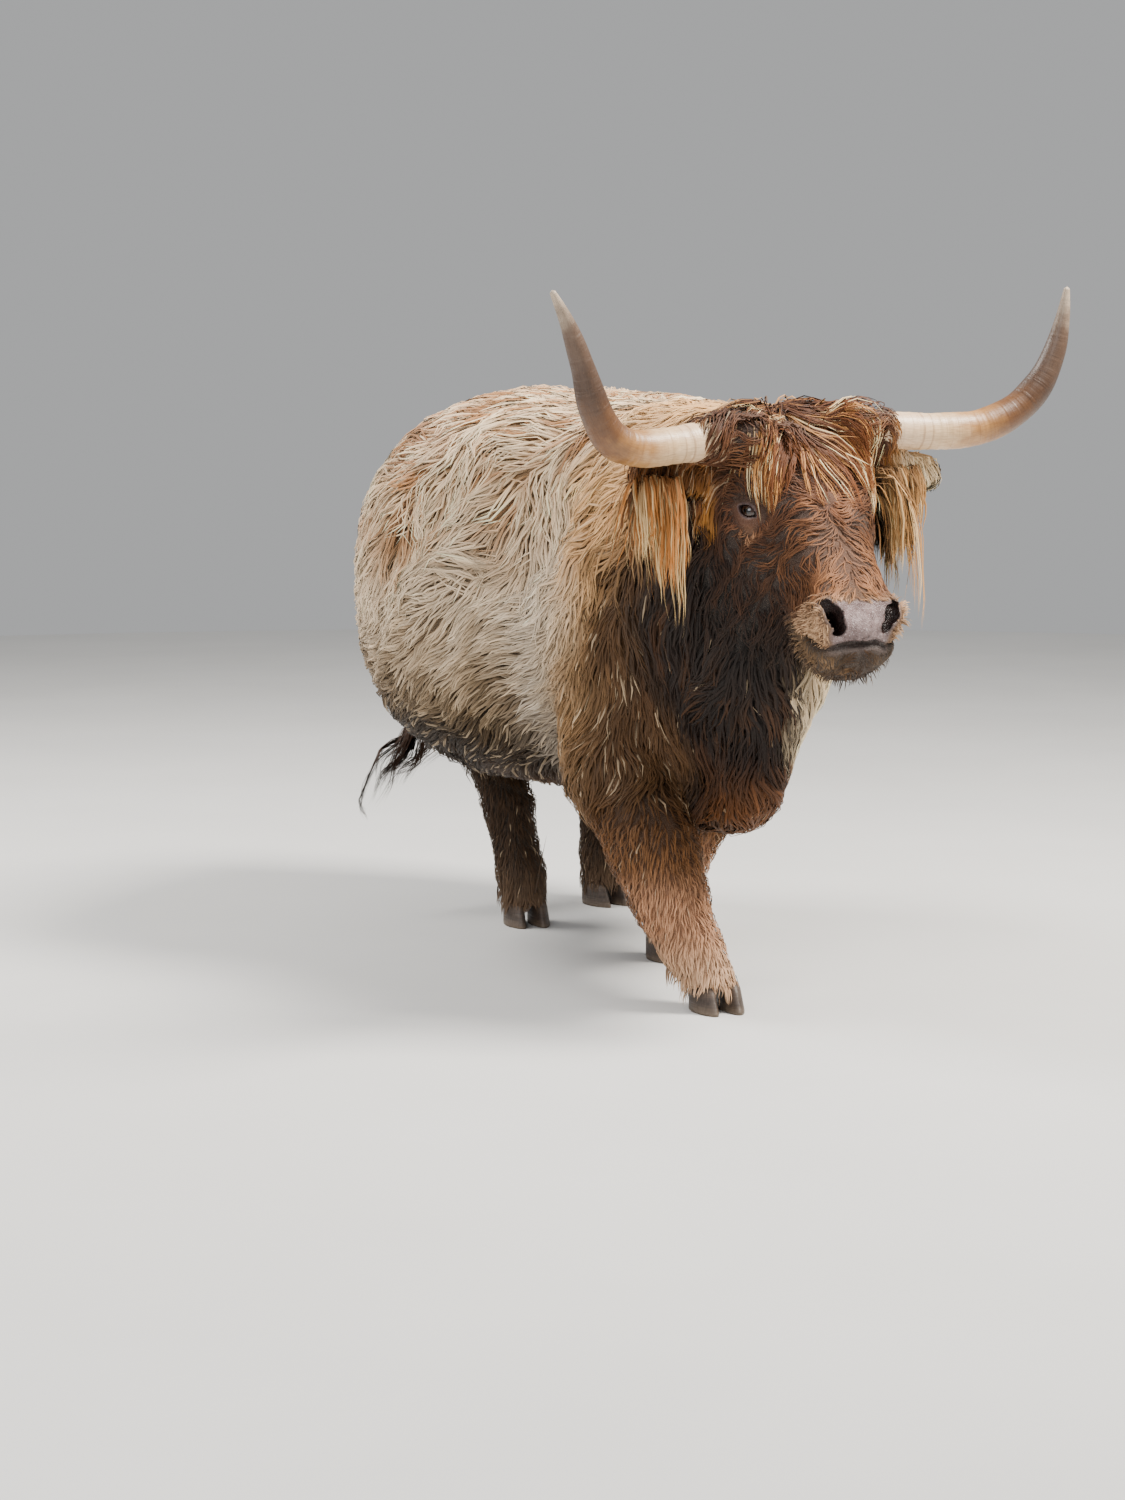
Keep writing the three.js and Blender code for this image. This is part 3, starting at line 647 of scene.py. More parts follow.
def face_colours(p, small):
    """Brown face, paler down the bridge and round the muzzle; painted shade darkens the cheeks, the chin and,
    darkest, the side behind the jaw.
    """
    h = in_head(p)
    u, v, w = h.T
    lock = noise(drawn(p, ALONG, 0.5), 0.035, 14)
    c = Coat(len(p), (46, 28, 19), (100, 66, 46))
    c.tint_tip(step(0.0, 0.9, lock), (158, 112, 82), 0.8)
    # Painted shade over the sides of the head and in a strip beside the bridge.
    painted_cheek_shade = step(-0.050, -0.115, w) * (1 - step(0.36, 0.44, v))
    painted_cheek_shade = painted_cheek_shade + 0.7 * bump(np.abs(u), 0.082, 0.020) * bump(v, 0.29, 0.06)
    c.tint(np.clip(painted_cheek_shade, 0, 1), (28, 17, 11), (72, 47, 31))
    # Painted shade, darkest behind the jaw.
    c.tint(step(-0.10, -0.20, w + 0.012 * lock) * (1 - step(0.35, 0.43, v)), (18, 11, 7), (42, 28, 19))
    bridge = bump(u, 0, 0.055) * step(0.22, 0.30, v) * (w > -0.09)
    c.tint(bridge, (86, 53, 35), (176, 126, 92), 0.8, 0.85)
    c.tint(step(0.36, 0.43, v) * step(0.02, 0.055, np.abs(u) + 0.5 * np.abs(w + 0.09)),
           (96, 66, 47), (222, 186, 152))
    rise, _ = mouth_line(h)
    # The chin: dark hair with paler tips, darkened by painted shadow under the lip.
    chin = step(0.36, 0.41, v) * step(0.003, -0.003, rise)
    chin_tip = c.between((56, 43, 30), (140, 112, 82), 0.7 * step(0.3, 1.0, small))
    c.tint(chin, (34, 24, 17), chin_tip, 0.95, 0.9)
    c.tint(step(0.075, 0.03, v), (40, 24, 16), (72, 45, 30))
    whorl = bump(np.hypot(u, v - WHORL), 0, 0.035)
    c.root = mix(c.root, rgb(124, 82, 58), 0.85 * whorl)
    # Round the eyes: painted shade in the socket and over the upper lid, a paler lower lid and a pale lock
    # below it.
    _, along, above, far = eye_frame(h)
    c.tint(1 - step(0.040, 0.075, far), (44, 28, 20), (86, 60, 45), 0.8, 0.8)
    lid = (1 - step(0.027, 0.044, far)) * (0.2 + 0.8 * step(0.010, -0.008, above))
    c.tint(lid, (88, 56, 42), (150, 106, 82))
    c.tint(bump(along, 0.016, 0.014) * bump(above, -0.030, 0.008), (128, 88, 66), (206, 164, 130), 0.8, 0.8)
    return c


def paint_ears(c, p, way, ear):
    """Dark behind and orange-blond at the rims; painted shadow of the horn darkens the top of the right one,
    and the left one is pale, its cream partly painted sunlight.
    """
    x, z = p[:, 0], p[:, 2]
    c.tint(ear, (80, 47, 29), c.between((204, 146, 86), (126, 80, 48), step(-0.1, 0.5, way[:, 1])))
    # Painted shadow of the horn over the top of the right ear.
    c.tint(ear * (x < 0) * step(0.975, 1.0, z), (50, 31, 20), (108, 70, 44), 0.9, 0.9)
    # The left ear's cream, made paler still as painted sunlight.
    c.tint(ear * step(0.17, 0.21, x), (214, 176, 130), (255, 236, 204))


def coat_colours(p, way):
    """Root colour and tip colour of the coat at each place; way is the outward direction there."""
    patch, small = noise(p, 0.26, 11), noise(p, 0.07, 12)
    streak = noise(drawn(p, DOWN_THE_RIBS), 0.055, 13)
    c = Coat(len(p), (156, 132, 108), (238, 220, 196))
    paint_trunk(c, p, way, patch, small, streak)
    paint_neck(c, p, patch, small, streak)
    paint_limbs(c, p, way)
    share, face = head_share(p), face_colours(p, small)
    c.root, c.tip = mix(c.root, face.root, share), mix(c.tip, face.tip, share)
    leaf = np.minimum(ear_leaf(p, -1), ear_leaf(p, 1))
    ear = step(0.125, 0.165, np.abs(p[:, 0])) * step(0.030, 0.008, leaf)
    paint_ears(c, p, way, ear)
    more = 1.26 - 0.10 * np.clip(share + ear, 0, 1)[:, None]
    return rich(c.root, more), rich(c.tip, more)


def nose_pad(p, h):
    """How much a place belongs to the bare pad of the nose, above the line of the mouth."""
    u, v, w = h.T
    rise, _ = mouth_line(h)
    wide = 0.070 - 0.45 * np.maximum(v - 0.436, 0)
    brow = 0.400 + 0.20 * np.maximum(np.abs(u) - 0.045, 0) + 0.003 * noise(p, 0.014, 40)
    pad = step(brow, brow + 0.007, v) * (1 - step(wide - 0.005, wide + 0.005, np.abs(u)))
    return pad * step(-0.004, 0.002, rise) * (w > -0.085)


def bare_parts(p, h):
    """How bare the hide is (nose pad, nostrils, lips, lids), and how dark."""
    u, v = h[:, 0], h[:, 1]
    rise, there = mouth_line(h)
    holes = step(0.0035, 0.0005, nostril(h))
    ahead, along, above, far = eye_frame(h)
    lid = (1 - step(0.001, 0.006, eye_slit(along, above))) * (1 - step(0.028, 0.032, far)) * (ahead > -0.01)
    lips = there * step(0.43, 0.455, v) * bump(rise, 0, 0.007) * (1 - step(0.050, 0.068, np.abs(u)))
    bare = np.maximum.reduce([nose_pad(p, h), holes, lid, 0.8 * lips])
    # Painted shade: near black inside the nostrils and along the mouth line; the lid rims dark, partly their
    # own skin and partly painted shade.
    dark = np.maximum.reduce([holes, 0.78 * lid, np.minimum(1.6 * lips, 1)])
    return bare, dark


# ---- camera, floor and light -------------------------------------------------------------------------
FLOOR_POINTS, FLOOR_RADIUS = 96, 9
CAMERA_AT = (-2.322, -4.826, 1.08)
CAMERA_TILT, CAMERA_TURN = 6.7217, -23
scene = bpy.context.scene


def link(name, data):
    """A new object that shows the data in the scene."""
    ob = bpy.data.objects.new(name, data)
    scene.collection.objects.link(ob)
    return ob


def add_camera():
    data = bpy.data.cameras.new("camera")
    data.lens = 67.2
    data.sensor_width = 36
    cam = link("camera", data)
    cam.location = (CAMERA_AT[0] - SHIFT[0], CAMERA_AT[1] - SHIFT[1], CAMERA_AT[2])
    cam.rotation_euler = (math.radians(90 - CAMERA_TILT), 0, math.radians(CAMERA_TURN))
    scene.camera = cam


def add_floor():
    mesh = bpy.data.meshes.new("floor")
    angles = [i / FLOOR_POINTS * 2 * math.pi for i in range(FLOOR_POINTS)]
    rim = [(FLOOR_RADIUS * math.cos(a), FLOOR_RADIUS * math.sin(a), -0.0005) for a in angles]
    mesh.from_pydata(rim, [], [list(range(FLOOR_POINTS))])
    mesh.materials.append(floor_look())
    floor = link("floor", mesh)


def light(name, spot, aim, size, power, colour):
    data = bpy.data.lights.new(name, "AREA")
    data.shape = "RECTANGLE"
    data.size, data.size_y = size
    data.energy = power
    data.color = colour
    ob = link(name, data)
    ob.location = spot
    ob.rotation_euler = (Vector(aim) - Vector(spot)).to_track_quat("-Z", "Y").to_euler()


def add_world():
    world = bpy.data.worlds.new("world")
    world.use_nodes = True
    sky = world.node_tree.nodes["Background"].inputs
    sky["Color"].default_value = (0.90, 0.91, 0.92, 1)
    sky["Strength"].default_value = 0.49
    scene.world = world


# ---- materials --------------------------------------------------------------------------------------
class Shader:
    """A material, and short ways to add its nodes; a value may be a number, a colour or another output."""

    def __init__(self, name):
        self.material = bpy.data.materials.new(name)
        self.material.use_nodes = True
        self.tree = self.material.node_tree
        self.main = self.tree.nodes["Principled BSDF"]

    def put(self, value, socket):
        """Link an output to the socket, or set the socket's own value."""
        if hasattr(value, "is_linked"):
            self.tree.links.new(value, socket)
        else:
            socket.default_value = value

    def node(self, kind, values=None, **settings):
        made = self.tree.nodes.new("ShaderNode" + kind)
        for key, value in settings.items():
            setattr(made, key, value)
        for key, value in (values or {}).items():
            self.put(value, made.inputs[key])
        return made

    def set(self, **values):
        for key, value in values.items():
            self.put(value, self.main.inputs[key.replace("_", " ")])

    def read(self, name, output="Fac"):
        return self.node("Attribute", attribute_name=name).outputs[output]

    def coords(self):
        return self.node("TexCoord").outputs["Object"]

    def stretched(self, vector, scale):
        return self.node("Mapping", {"Vector": vector, "Scale": scale}).outputs[0]

    def noise(self, scale, detail=4.0, vector=None):
        values = {"Vector": self.coords() if vector is None else vector, "Scale": scale, "Detail": detail,
                  "Roughness": 0.55, "Distortion": 0.0}
        return self.node("TexNoise", values).outputs["Fac"]

    def math(self, operation, a, b=0.0):
        return self.node("Math", {0: a, 1: b}, operation=operation).outputs[0]

    def blend(self, kind, amount, a, b):
        made = self.node("Mix", {0: amount}, data_type="RGBA", blend_type=kind)
        for key, value in ((6, a), (7, b)):
            self.put(value if hasattr(value, "is_linked") else (*value, 1), made.inputs[key])
        return made.outputs[2]

    def ramp(self, value, *stops):
        made = self.node("ValToRGB", {0: value})
        band = made.color_ramp
        while len(band.elements) < len(stops):
            band.elements.new(0.5)
        for element, (at, colour) in zip(band.elements, stops):
            element.position = at
            element.color = (*colour, 1)
        return made.outputs[0]

    def map(self, value, a, b, c, d):
        """The value spread from the span a to b over the span c to d."""
        return self.node("MapRange", {0: value, 1: a, 2: b, 3: c, 4: d}).outputs[0]

    def bump(self, height, distance, strength=1.0, normal=None):
        values = {"Height": height, "Distance": distance, "Strength": strength}
        if normal is not None:
            values["Normal"] = normal
        return self.node("Bump", values).outputs["Normal"]


def floor_look():
    """Plain pale ground, a little uneven in tone."""
    s = Shader("floor")
    s.set(Base_Color=s.ramp(s.noise(1.4), (0.3, (0.66, 0.655, 0.64)), (0.7, (0.70, 0.695, 0.68))),
          Roughness=0.75, Specular_IOR_Level=0.2)
    return s.material


def skin_look():
    """Short hair and hide. The bare parts, marked by the attribute bare, are moist and pebbled."""
    s = Shader("hide")
    bare = s.read("bare")
    coat = s.read("coat", "Color")
    coat = s.blend("MULTIPLY", s.map(s.noise(320, 6), 0.3, 0.7, 0.0, 0.55), coat, (0.45, 0.40, 0.36))
    coat = s.blend("SCREEN", s.map(s.noise(700, 3), 0.5, 0.8, 0.0, 0.25), coat, (0.5, 0.38, 0.28))
    speck = s.node("TexVoronoi", {"Vector": s.coords(), "Scale": 520.0}).outputs["Distance"]
    pad = s.ramp(s.noise(70, 6), (0.30, rgb(98, 78, 76)), (0.50, rgb(142, 120, 118)),
                 (0.70, rgb(176, 156, 154)))
    pad = s.blend("MULTIPLY", s.map(speck, 0.15, 0.6, 0.0, 0.45), pad, (0.50, 0.43, 0.42))
    pad = s.blend("MULTIPLY", s.map(s.noise(180, 2), 0.62, 0.70, 0.0, 0.7), pad, (0.25, 0.18, 0.17))
    # Painted shade from the attribute dark: nostrils, mouth line and lid rims.
    pad = s.blend("MULTIPLY", s.read("dark"), pad, (0.10, 0.07, 0.06))
    s.set(Base_Color=s.blend("MIX", bare, coat, pad))
    s.set(Roughness=s.map(s.math("ADD", bare, s.math("MULTIPLY", s.noise(60), 0.25)), 0.0, 1.2, 0.85, 0.20))
    fur = s.bump(s.noise(420, 6), 0.004, 0.6)
    s.set(Normal=s.bump(s.math("MULTIPLY", speck, bare), 0.0016, 0.9, fur))
    return s.material


def coat_look(name, sheen):
    """Locks in the colours of the attribute coat, with a fine grain of single hairs."""
    s = Shader(name)
    grain = s.noise(900, 3)
    dim = s.map(grain, 0.35, 0.7, 0.35, 0.0)
    coat = s.blend("MULTIPLY", dim, s.read("coat", "Color"), (0.55, 0.48, 0.42))
    s.set(Base_Color=coat, Roughness=s.map(s.noise(240, 2), 0.3, 0.7, 0.52, 0.68), Sheen_Weight=sheen,
          Sheen_Roughness=0.4, Specular_IOR_Level=0.22, Normal=s.bump(grain, 0.0006, 0.5))
    return s.material


def horn_look():
    """Cream at the root, brown to near black beyond the bend, and pale again at the point."""
    s = Shader("horn")
    along = s.read("along")
    streak = s.noise(1.0, 6, s.stretched(s.read("round", "Vector"), (26, 26, 5)))
    mottle = s.math("MULTIPLY", s.math("SUBTRACT", s.noise(38, 5), 0.5), 0.16)
    base = s.ramp(s.math("ADD", along, mottle), (0.0, rgb(206, 166, 132)), (0.08, rgb(236, 206, 172)),
                  (0.30, rgb(226, 192, 148)), (0.42, rgb(172, 124, 70)), (0.54, rgb(106, 68, 33)),
                  (0.68, rgb(70, 47, 30)), (0.86, rgb(96, 74, 58)), (1.0, rgb(186, 168, 146)))
    base = s.blend("MULTIPLY", s.map(streak, 0.42, 0.68, 0.0, 0.42), base, rgb(160, 122, 84))
    rings = {"W": s.math("MULTIPLY", along, 58.0), "Scale": 1.0, "Detail": 3.0, "Roughness": 0.6}
    ring = s.node("TexNoise", rings, noise_dimensions="1D").outputs["Fac"]
    ringed = s.math("MULTIPLY", s.map(ring, 0.60, 0.72, 0.0, 0.75), s.map(along, 0.0, 0.55, 1.0, 0.0))
    base = s.blend("MULTIPLY", ringed, base, rgb(150, 108, 78))
    base = s.blend("MIX", s.map(s.noise(210, 3), 0.62, 0.74, 0.0, 0.25), base, rgb(120, 92, 70))
    wear = s.math("ADD", s.math("MULTIPLY", along, 0.4), s.noise(80, 4))
    s.set(Base_Color=base, Roughness=s.map(wear, 0.3, 1.0, 0.34, 0.5), Coat_Weight=0.12, Coat_Roughness=0.25,
          Normal=s.bump(streak, 0.0008, 0.6, s.bump(ring, 0.0016, 0.7)))
    return s.material


def eye_look():
    """A dark brown iris with a lying pupil; the attribute gaze says how far a place is from its middle."""
    s = Shader("eye")
    spot = s.node("SeparateXYZ", {0: s.read("gaze", "Vector")})
    long, tall = spot.outputs[0], spot.outputs[1]
    pupil = s.math("SQRT", s.math("ADD", s.math("POWER", s.math("DIVIDE", long, 0.40), 2.0),
                                  s.math("POWER", s.math("DIVIDE", tall, 0.22), 2.0)))
    far = s.math("SQRT", s.math("ADD", s.math("MULTIPLY", long, long), s.math("MULTIPLY", tall, tall)))
    ray = s.noise(1.0, 5, s.stretched(s.read("gaze", "Vector"), (9, 9, 9)))
    iris = s.ramp(s.math("ADD", far, s.math("MULTIPLY", ray, 0.12)), (0.2, rgb(34, 20, 13)),
                  (0.62, rgb(50, 29, 18)), (0.74, rgb(16, 10, 7)), (0.88, rgb(74, 54, 46)))
    s.set(Base_Color=s.blend("MIX", s.map(pupil, 0.95, 1.06, 0.0, 1.0), rgb(8, 9, 12), iris),
          Roughness=s.map(ray, 0, 1, 0.09, 0.15), Coat_Weight=0.5, Coat_Roughness=0.08)
    return s.material


def hoof_look():
    """Brown-grey horn with upright grain, growth rings and dust at the sole."""
    s = Shader("hoof")
    level = s.node("SeparateXYZ", {0: s.coords()}).outputs[2]
    wall = s.noise(1.0, 5, s.stretched(s.coords(), (260, 260, 30)))
    growth = s.noise(1.0, 3, s.stretched(s.coords(), (20, 20, 330)))
    base = s.ramp(s.math("ADD", s.math("MULTIPLY", level, 9.0), s.math("MULTIPLY", growth, 0.5)),
                  (0.15, rgb(96, 80, 66)), (0.45, rgb(66, 54, 46)), (0.8, rgb(104, 86, 72)))
    base = s.blend("MULTIPLY", s.map(wall, 0.4, 0.7, 0.0, 0.5), base, rgb(110, 92, 78))
    dust = s.math("MULTIPLY", s.map(level, 0.0, 0.016, 0.7, 0.0), s.noise(90, 4))
    base = s.blend("MIX", dust, base, rgb(128, 112, 92))
    s.set(Base_Color=base, Roughness=s.map(growth, 0.3, 0.7, 0.42, 0.62),
          Normal=s.bump(wall, 0.001, 0.7, s.bump(growth, 0.0018, 0.8)))
    return s.material


add_camera()
add_floor()
light("key", (2.2, -1.9, 4.6), (0, 0, 0.7), (1.5, 1.5), 680, (1.0, 0.95, 0.88))
light("fill", (-3.9, -4.2, 2.8), (0, 0, 0.6), (3.0, 2.4), 140, (0.95, 0.97, 1.0))
light("back", (-2.4, 2.6, 4.2), (0, 0.2, 0.8), (2.2, 2.0), 300, (1.0, 0.97, 0.93))
add_world()
COAT, FACE_COAT = coat_look("coat", 0.05), coat_look("coat_face", 0.04)


# ---- the skin -----------------------------------------------------------------------------------------
FLESH = ["head", "lower_jaw", "muzzle", "nose", "ear_right", "ear_left", "neck", "brisket", "chest", "barrel",
         "chest_floor", "forearm_right", "forearm_left", "udder", "hindquarters", "thigh_right", "thigh_left",
         "knee_fore_right", "knee_fore_left", "cannon_fore_right", "cannon_fore_left", "hock_hind_right",
         "hock_hind_left", "cannon_hind_right", "cannon_hind_left", "tail_dock", "tail_shaft", "tail_switch"]


def skin_shape():
    """Corners and quads of the skin, drawn onto the field's zero level, and the way out at each corner."""
    verts, quads = largest(*surface_net([
        lines(-0.54, (-0.32, 0.022), (-0.20, 0.012), (-0.148, 0.006), (-0.092, 0.003), (0.092, 0.0046),
              (0.148, 0.003), (0.20, 0.006), (0.32, 0.012), (0.58, 0.022)),
        lines(-0.70, (-0.495, 0.0045), (-0.405, 0.003), (-0.30, 0.007), (1.20, 0.022)),
        lines(0.030, (0.62, 0.017), (0.78, 0.0045), (0.89, 0.006), (0.960, 0.003), (1.13, 0.008),
              (1.19, 0.02)),
    ], skin_field))
    for _ in range(3):
        g = gradient(skin_field, verts, 0.0015)
        move = -skin_field(verts)[:, None] * g / np.maximum((g * g).sum(1, keepdims=True), 0.2)
        far = np.linalg.norm(move, axis=1, keepdims=True)
        verts = verts + move * np.minimum(1, 0.004 / np.maximum(far, 1e-9))
    return verts, quads, unit(gradient(skin_field, verts, 0.003))


def add_skin(verts, quads, out):
    skin = make_mesh("skin", "coat_back", verts, quads.ravel(), np.arange(0, quads.size, 4))
    root, tip = coat_colours(verts, out)
    # Painted shade: the skin darker than the locks above it, more so on the head, so that it reads as depth
    # between them.
    shade = 0.80 - 0.18 * head_share(verts)[:, None]
    paint_coat(skin, mix(root, tip, np.full(len(verts), 0.25)) * shade)
    bare, dark = bare_parts(verts, in_head(verts))
    x, y, z = verts.T
    bag = step(0.012, -0.002, ball(verts, *UDDER)) * (z < 0.45)
    teats = (z < 0.345) * (np.hypot(x - 0.042, y - 0.80) < 0.10) * (np.abs(z - 0.33) < 0.03)
    paint(skin, "bare", np.clip(np.maximum.reduce([bare, 0.6 * bag, 0.6 * teats]), 0, 1))
    paint(skin, "dark", np.clip(dark, 0, 1))
    skin.data.materials.append(skin_look())
    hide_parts(*FLESH)


skin_verts, skin_quads, skin_out = skin_shape()
add_skin(skin_verts, skin_quads, skin_out)


# ---- the coat: solid tapered locks, three-sided, lying along the skin ---------------------------------
# A lock's thickness and the width at its root, both as shares of its width; how deep its root sits.
LOCK_DEPTH, ROOT_WIDTH, ROOTED = 0.30, 0.55, 0.004
# The length of a wave of the coat, and of the hair that hangs free.
COAT_WAVE, HANGING_WAVE = 0.075, 0.014
# The size of a lock's patch on the map.
PATCH = 0.003
BOTH_SIDES = (("right", -1), ("left", 1))

tris = np.concatenate([skin_quads[:, [0, 1, 2]], skin_quads[:, [0, 2, 3]]])
corner = skin_verts[tris]
tri_area = np.linalg.norm(np.cross(corner[:, 1] - corner[:, 0], corner[:, 2] - corner[:, 0]), axis=1) / 2
tri_at = corner.mean(1)
tri_out = unit(skin_out[tris].mean(1))


def feel(p):
    """Distance to the skin and the way out of it."""
    e = 0.0025
    d = skin_field(p)
    return d, np.stack([skin_field(p + move) - d for move in e * np.eye(3)], 1) / e


def rooted(p):
    """The places moved onto the skin, and the way out of it there."""
    d, g = feel(p)
    n = unit(g)
    return p - n * d[:, None], n


def middle_line(y):
    return np.interp(y, TRUNK[:, 0], TRUNK[:, 1])


def toward(way, target, share):
    """The way brought nearer to a target, by the share at each place."""
    return way + (target - way) * share[:, None]


def lie_of_body(p, n):
    """Down and back over ribs and shoulders, down the neck, legs and tail, outward from the back line."""
    x, y, z = p.T
    high, neck = step(0.70, 0.92, z), step(-0.15, -0.26, y)
    way = toward(0.42 * DOWN + 0.90 * BACK, 0.95 * DOWN + 0.42 * BACK, high)
    high = high[:, None]
    shoulder = (0.95 - 0.35 * high) * DOWN + (0.22 + 0.55 * high) * BACK
    way = toward(way, shoulder, step(0.10, -0.08, y))
    way = toward(way, DOWN + 0.16 * BACK, neck)
    way = toward(way, 0.95 * DOWN + 0.25 * BACK, step(0.80, 1.0, y))
    out = np.tanh((x - middle_line(y)) / 0.05)[:, None] * SIDE
    crest = 0.8 * out + (0.62 - 0.35 * neck[:, None]) * BACK + 0.35 * DOWN
    way = toward(way, crest, step(0.35, 0.9, n[:, 2]))
    way = toward(way, DOWN + 0.18 * BACK, 1 - step(0.34, 0.46, z))
    return toward(way, DOWN, step(1.05, 1.10, y))


def lie_of_face(h):
    """Rays from a whorl on the forehead, a parting over it, and cheeks that fall down and back."""
    u, v, w = h.T
    r = np.maximum(np.hypot(u, v - WHORL), 0.01)
    outward = np.sign(u)[:, None] * ACROSS
    way = (u / r)[:, None] * ACROSS + ((v - WHORL) / r)[:, None] * ALONG
    way = way + 0.35 * (u / np.maximum(np.abs(u), 0.01))[:, None] * ACROSS
    way = toward(way, 0.9 * DOWN + 0.35 * BACK, step(-0.055, -0.12, w))
    way = toward(way, 0.75 * outward + 0.75 * ALONG, step(0.085, 0.04, v))
    way = toward(way, 0.5 * outward + 0.8 * DOWN - 0.1 * ALONG, step(0.33, 0.39, v))
    _, along, above, far = eye_frame(h)
    from_eye = along[:, None] * EYE_LONG + above[:, None] * EYE_UP
    from_eye[:, 0] *= np.sign(u)
    return toward(way, 1.2 * unit(from_eye) @ FACE_AXES + 0.3 * DOWN, step(0.062, 0.034, far))


def lie(p, n):
    """The way the coat lies at each place, before it is laid along the skin."""
    x, y, z = p.T
    way = toward(lie_of_body(p, n), lie_of_face(in_head(p)), head_share(p))
    ear = step(0.13, 0.17, np.abs(x)) * step(-0.33, -0.36, y) * step(0.85, 0.9, z)
    return toward(way, 0.5 * np.sign(x)[:, None] * SIDE + 0.9 * DOWN, ear)


def sow(count, weight, seed):
    """Places spread evenly over the skin, as thick on the ground as the weight says."""
    dice = np.random.default_rng(seed)
    total = np.cumsum(tri_area * weight)
    pick = np.searchsorted(total, (np.arange(count) + dice.random(count)) / count * total[-1])
    a, b = dice.random((2, count))
    over = a + b > 1
    a, b = np.where(over, 1 - a, a), np.where(over, 1 - b, b)
    q = corner[np.clip(pick, 0, len(tris) - 1)]
    return q[:, 0] + a[:, None] * (q[:, 1] - q[:, 0]) + b[:, None] * (q[:, 2] - q[:, 0])


def grow(p, length, rings, lift, seed, swirl, swirl_size, jitter, clump, clump_size, way=None, wave=0.0,
         droop=0.0, tuck=0.22):
    """Paths of locks from their roots: each step follows the lie of the coat at a height above the skin."""
    dice = np.random.default_rng(seed)
    own = dice.normal(size=len(p)) * jitter
    phase = dice.random(len(p)) * 0.8
    at, n = rooted(p)
    path, outs = [at - n * ROOTED], [n]
    for k in range(1, rings + 1):
        t = k / rings
        heading = lie(at, n) if way is None else way(at, n, t)
        heading = unit(heading - n * (heading * n).sum(1, keepdims=True))
        turned = swirl * noise(at, swirl_size, 31) + 0.5 * swirl * noise(at, swirl_size * 0.4, 32) + own
        heading = heading * np.cos(turned)[:, None] + np.cross(n, heading) * np.sin(turned)[:, None]
        at = at + unit(heading + droop * t * DOWN) * (length / rings)[:, None]
        d, g = feel(at)
        n = unit(g)
        height = lift * (1 - (1 - t) ** 2.4) * (1 - tuck * t ** 3)
        fix = np.clip(height - d / np.maximum(np.linalg.norm(g, axis=1), 0.3), -0.02, 0.02)
        at = at + n * fix[:, None]
        path.append(at)
        outs.append(n)
    path, outs = np.stack(path), np.stack(outs)
    across = unit(np.cross(path[-1] - path[0], outs[0]))
    for k in range(1, rings + 1):
        t = k / rings
        curl = np.sin(2 * math.pi * (t * length / COAT_WAVE + phase + 0.5 * noise(p, 0.06, 35)))
        path[k] += across * (wave * t * curl)[:, None]
    shade = gather(p, path, clump, clump_size, dice)
    return trim(path), outs, shade


def gather(p, path, clump, clump_size, dice):
    """Draw locks near each other together towards their tips; gives each bunch a number of its own."""
    count, rings = path.shape[1], len(path) - 1
    chosen = dice.choice(count, max(count // clump_size, 1), replace=False)
    tree = KDTree(len(chosen))
    for i, c in enumerate(chosen):
        tree.insert(p[c], i)
    tree.balance()
    near = np.array([chosen[tree.find(q)[1]] for q in p])
    pull = clump * (0.5 + 0.7 * dice.random(count))
    for k in range(1, rings + 1):
        share = np.clip(pull * (k / rings) ** 1.4, 0, 0.92)[:, None]
        path[k] = path[k] * (1 - share) + path[k][near] * share
    return dice.normal(size=count)[near]


def trim(path, clear=0.030):
    """Shorten the locks that would cross an open eye, a nostril or the nose pad."""
    rings, count = len(path) - 1, path.shape[1]
    flat = path.reshape(-1, 3)
    h = in_head(flat)
    inside = np.zeros(len(flat), dtype=bool)
    near = (np.abs(h[:, 0]) < 0.2) & (h[:, 1] > 0.1) & (h[:, 1] < 0.52) & (h[:, 2] > -0.14)
    if near.any():
        k = h[near]
        ahead, _, _, far = eye_frame(k)
        eye = (far < clear) & (ahead > -0.004)
        inside[near] = eye | (nostril(k) < 0.001) | (nose_pad(flat[near], k) > 0.6)
    inside = inside.reshape(rings + 1, count)
    first = np.where(inside.any(0), np.maximum(inside.argmax(0) - 0.6, 0.35), rings)
    out, each = path.copy(), np.arange(count)
    for k in range(rings + 1):
        s = k / rings * first
        i = np.minimum(s.astype(int), rings - 1)
        t = (s - i)[:, None]
        out[k] = path[i, each] * (1 - t) + path[i + 1, each] * t
    return out


def hang(p, length, rings, way, seed, weight, wave, clump, clump_size, jitter):
    """Paths of locks that hang free from their roots, kept clear of the skin; way gives their start."""
    dice = np.random.default_rng(seed)
    at, n = rooted(p)
    heading = unit(way(p, n) + jitter * dice.normal(size=p.shape))
    path, outs = [at - n * ROOTED], [n]
    for k in range(1, rings + 1):
        at = at + heading * (length / rings)[:, None]
        stray = jitter * 0.6 * dice.normal(size=p.shape) * [1, 1, 0.3]
        heading = unit(heading * (1 - weight) + weight * DOWN + stray)
        d, g = feel(at)
        at = at + unit(g) * np.clip(0.003 - d, 0, 0.02)[:, None]
        path.append(at)
        outs.append(unit(outs[0] + 0.5 * np.clip(1 - d / 0.03, 0, 1)[:, None] * unit(g)))
    path, outs = np.stack(path), np.stack(outs)
    across = unit(np.cross(path[-1] - path[0], outs[0]))
    phase = 4 * noise(p, 0.05, 36)
    for k in range(1, rings + 1):
        t = k / rings
        path[k] += across * (wave * t * np.sin(t * length / HANGING_WAVE + phase))[:, None]
    return path, outs, gather(p, path, clump, clump_size, dice)


def turn_share(across, ahead):
    """The direction round an axis, as a share of a full turn."""
    return np.arctan2(across, ahead) / 6.2832


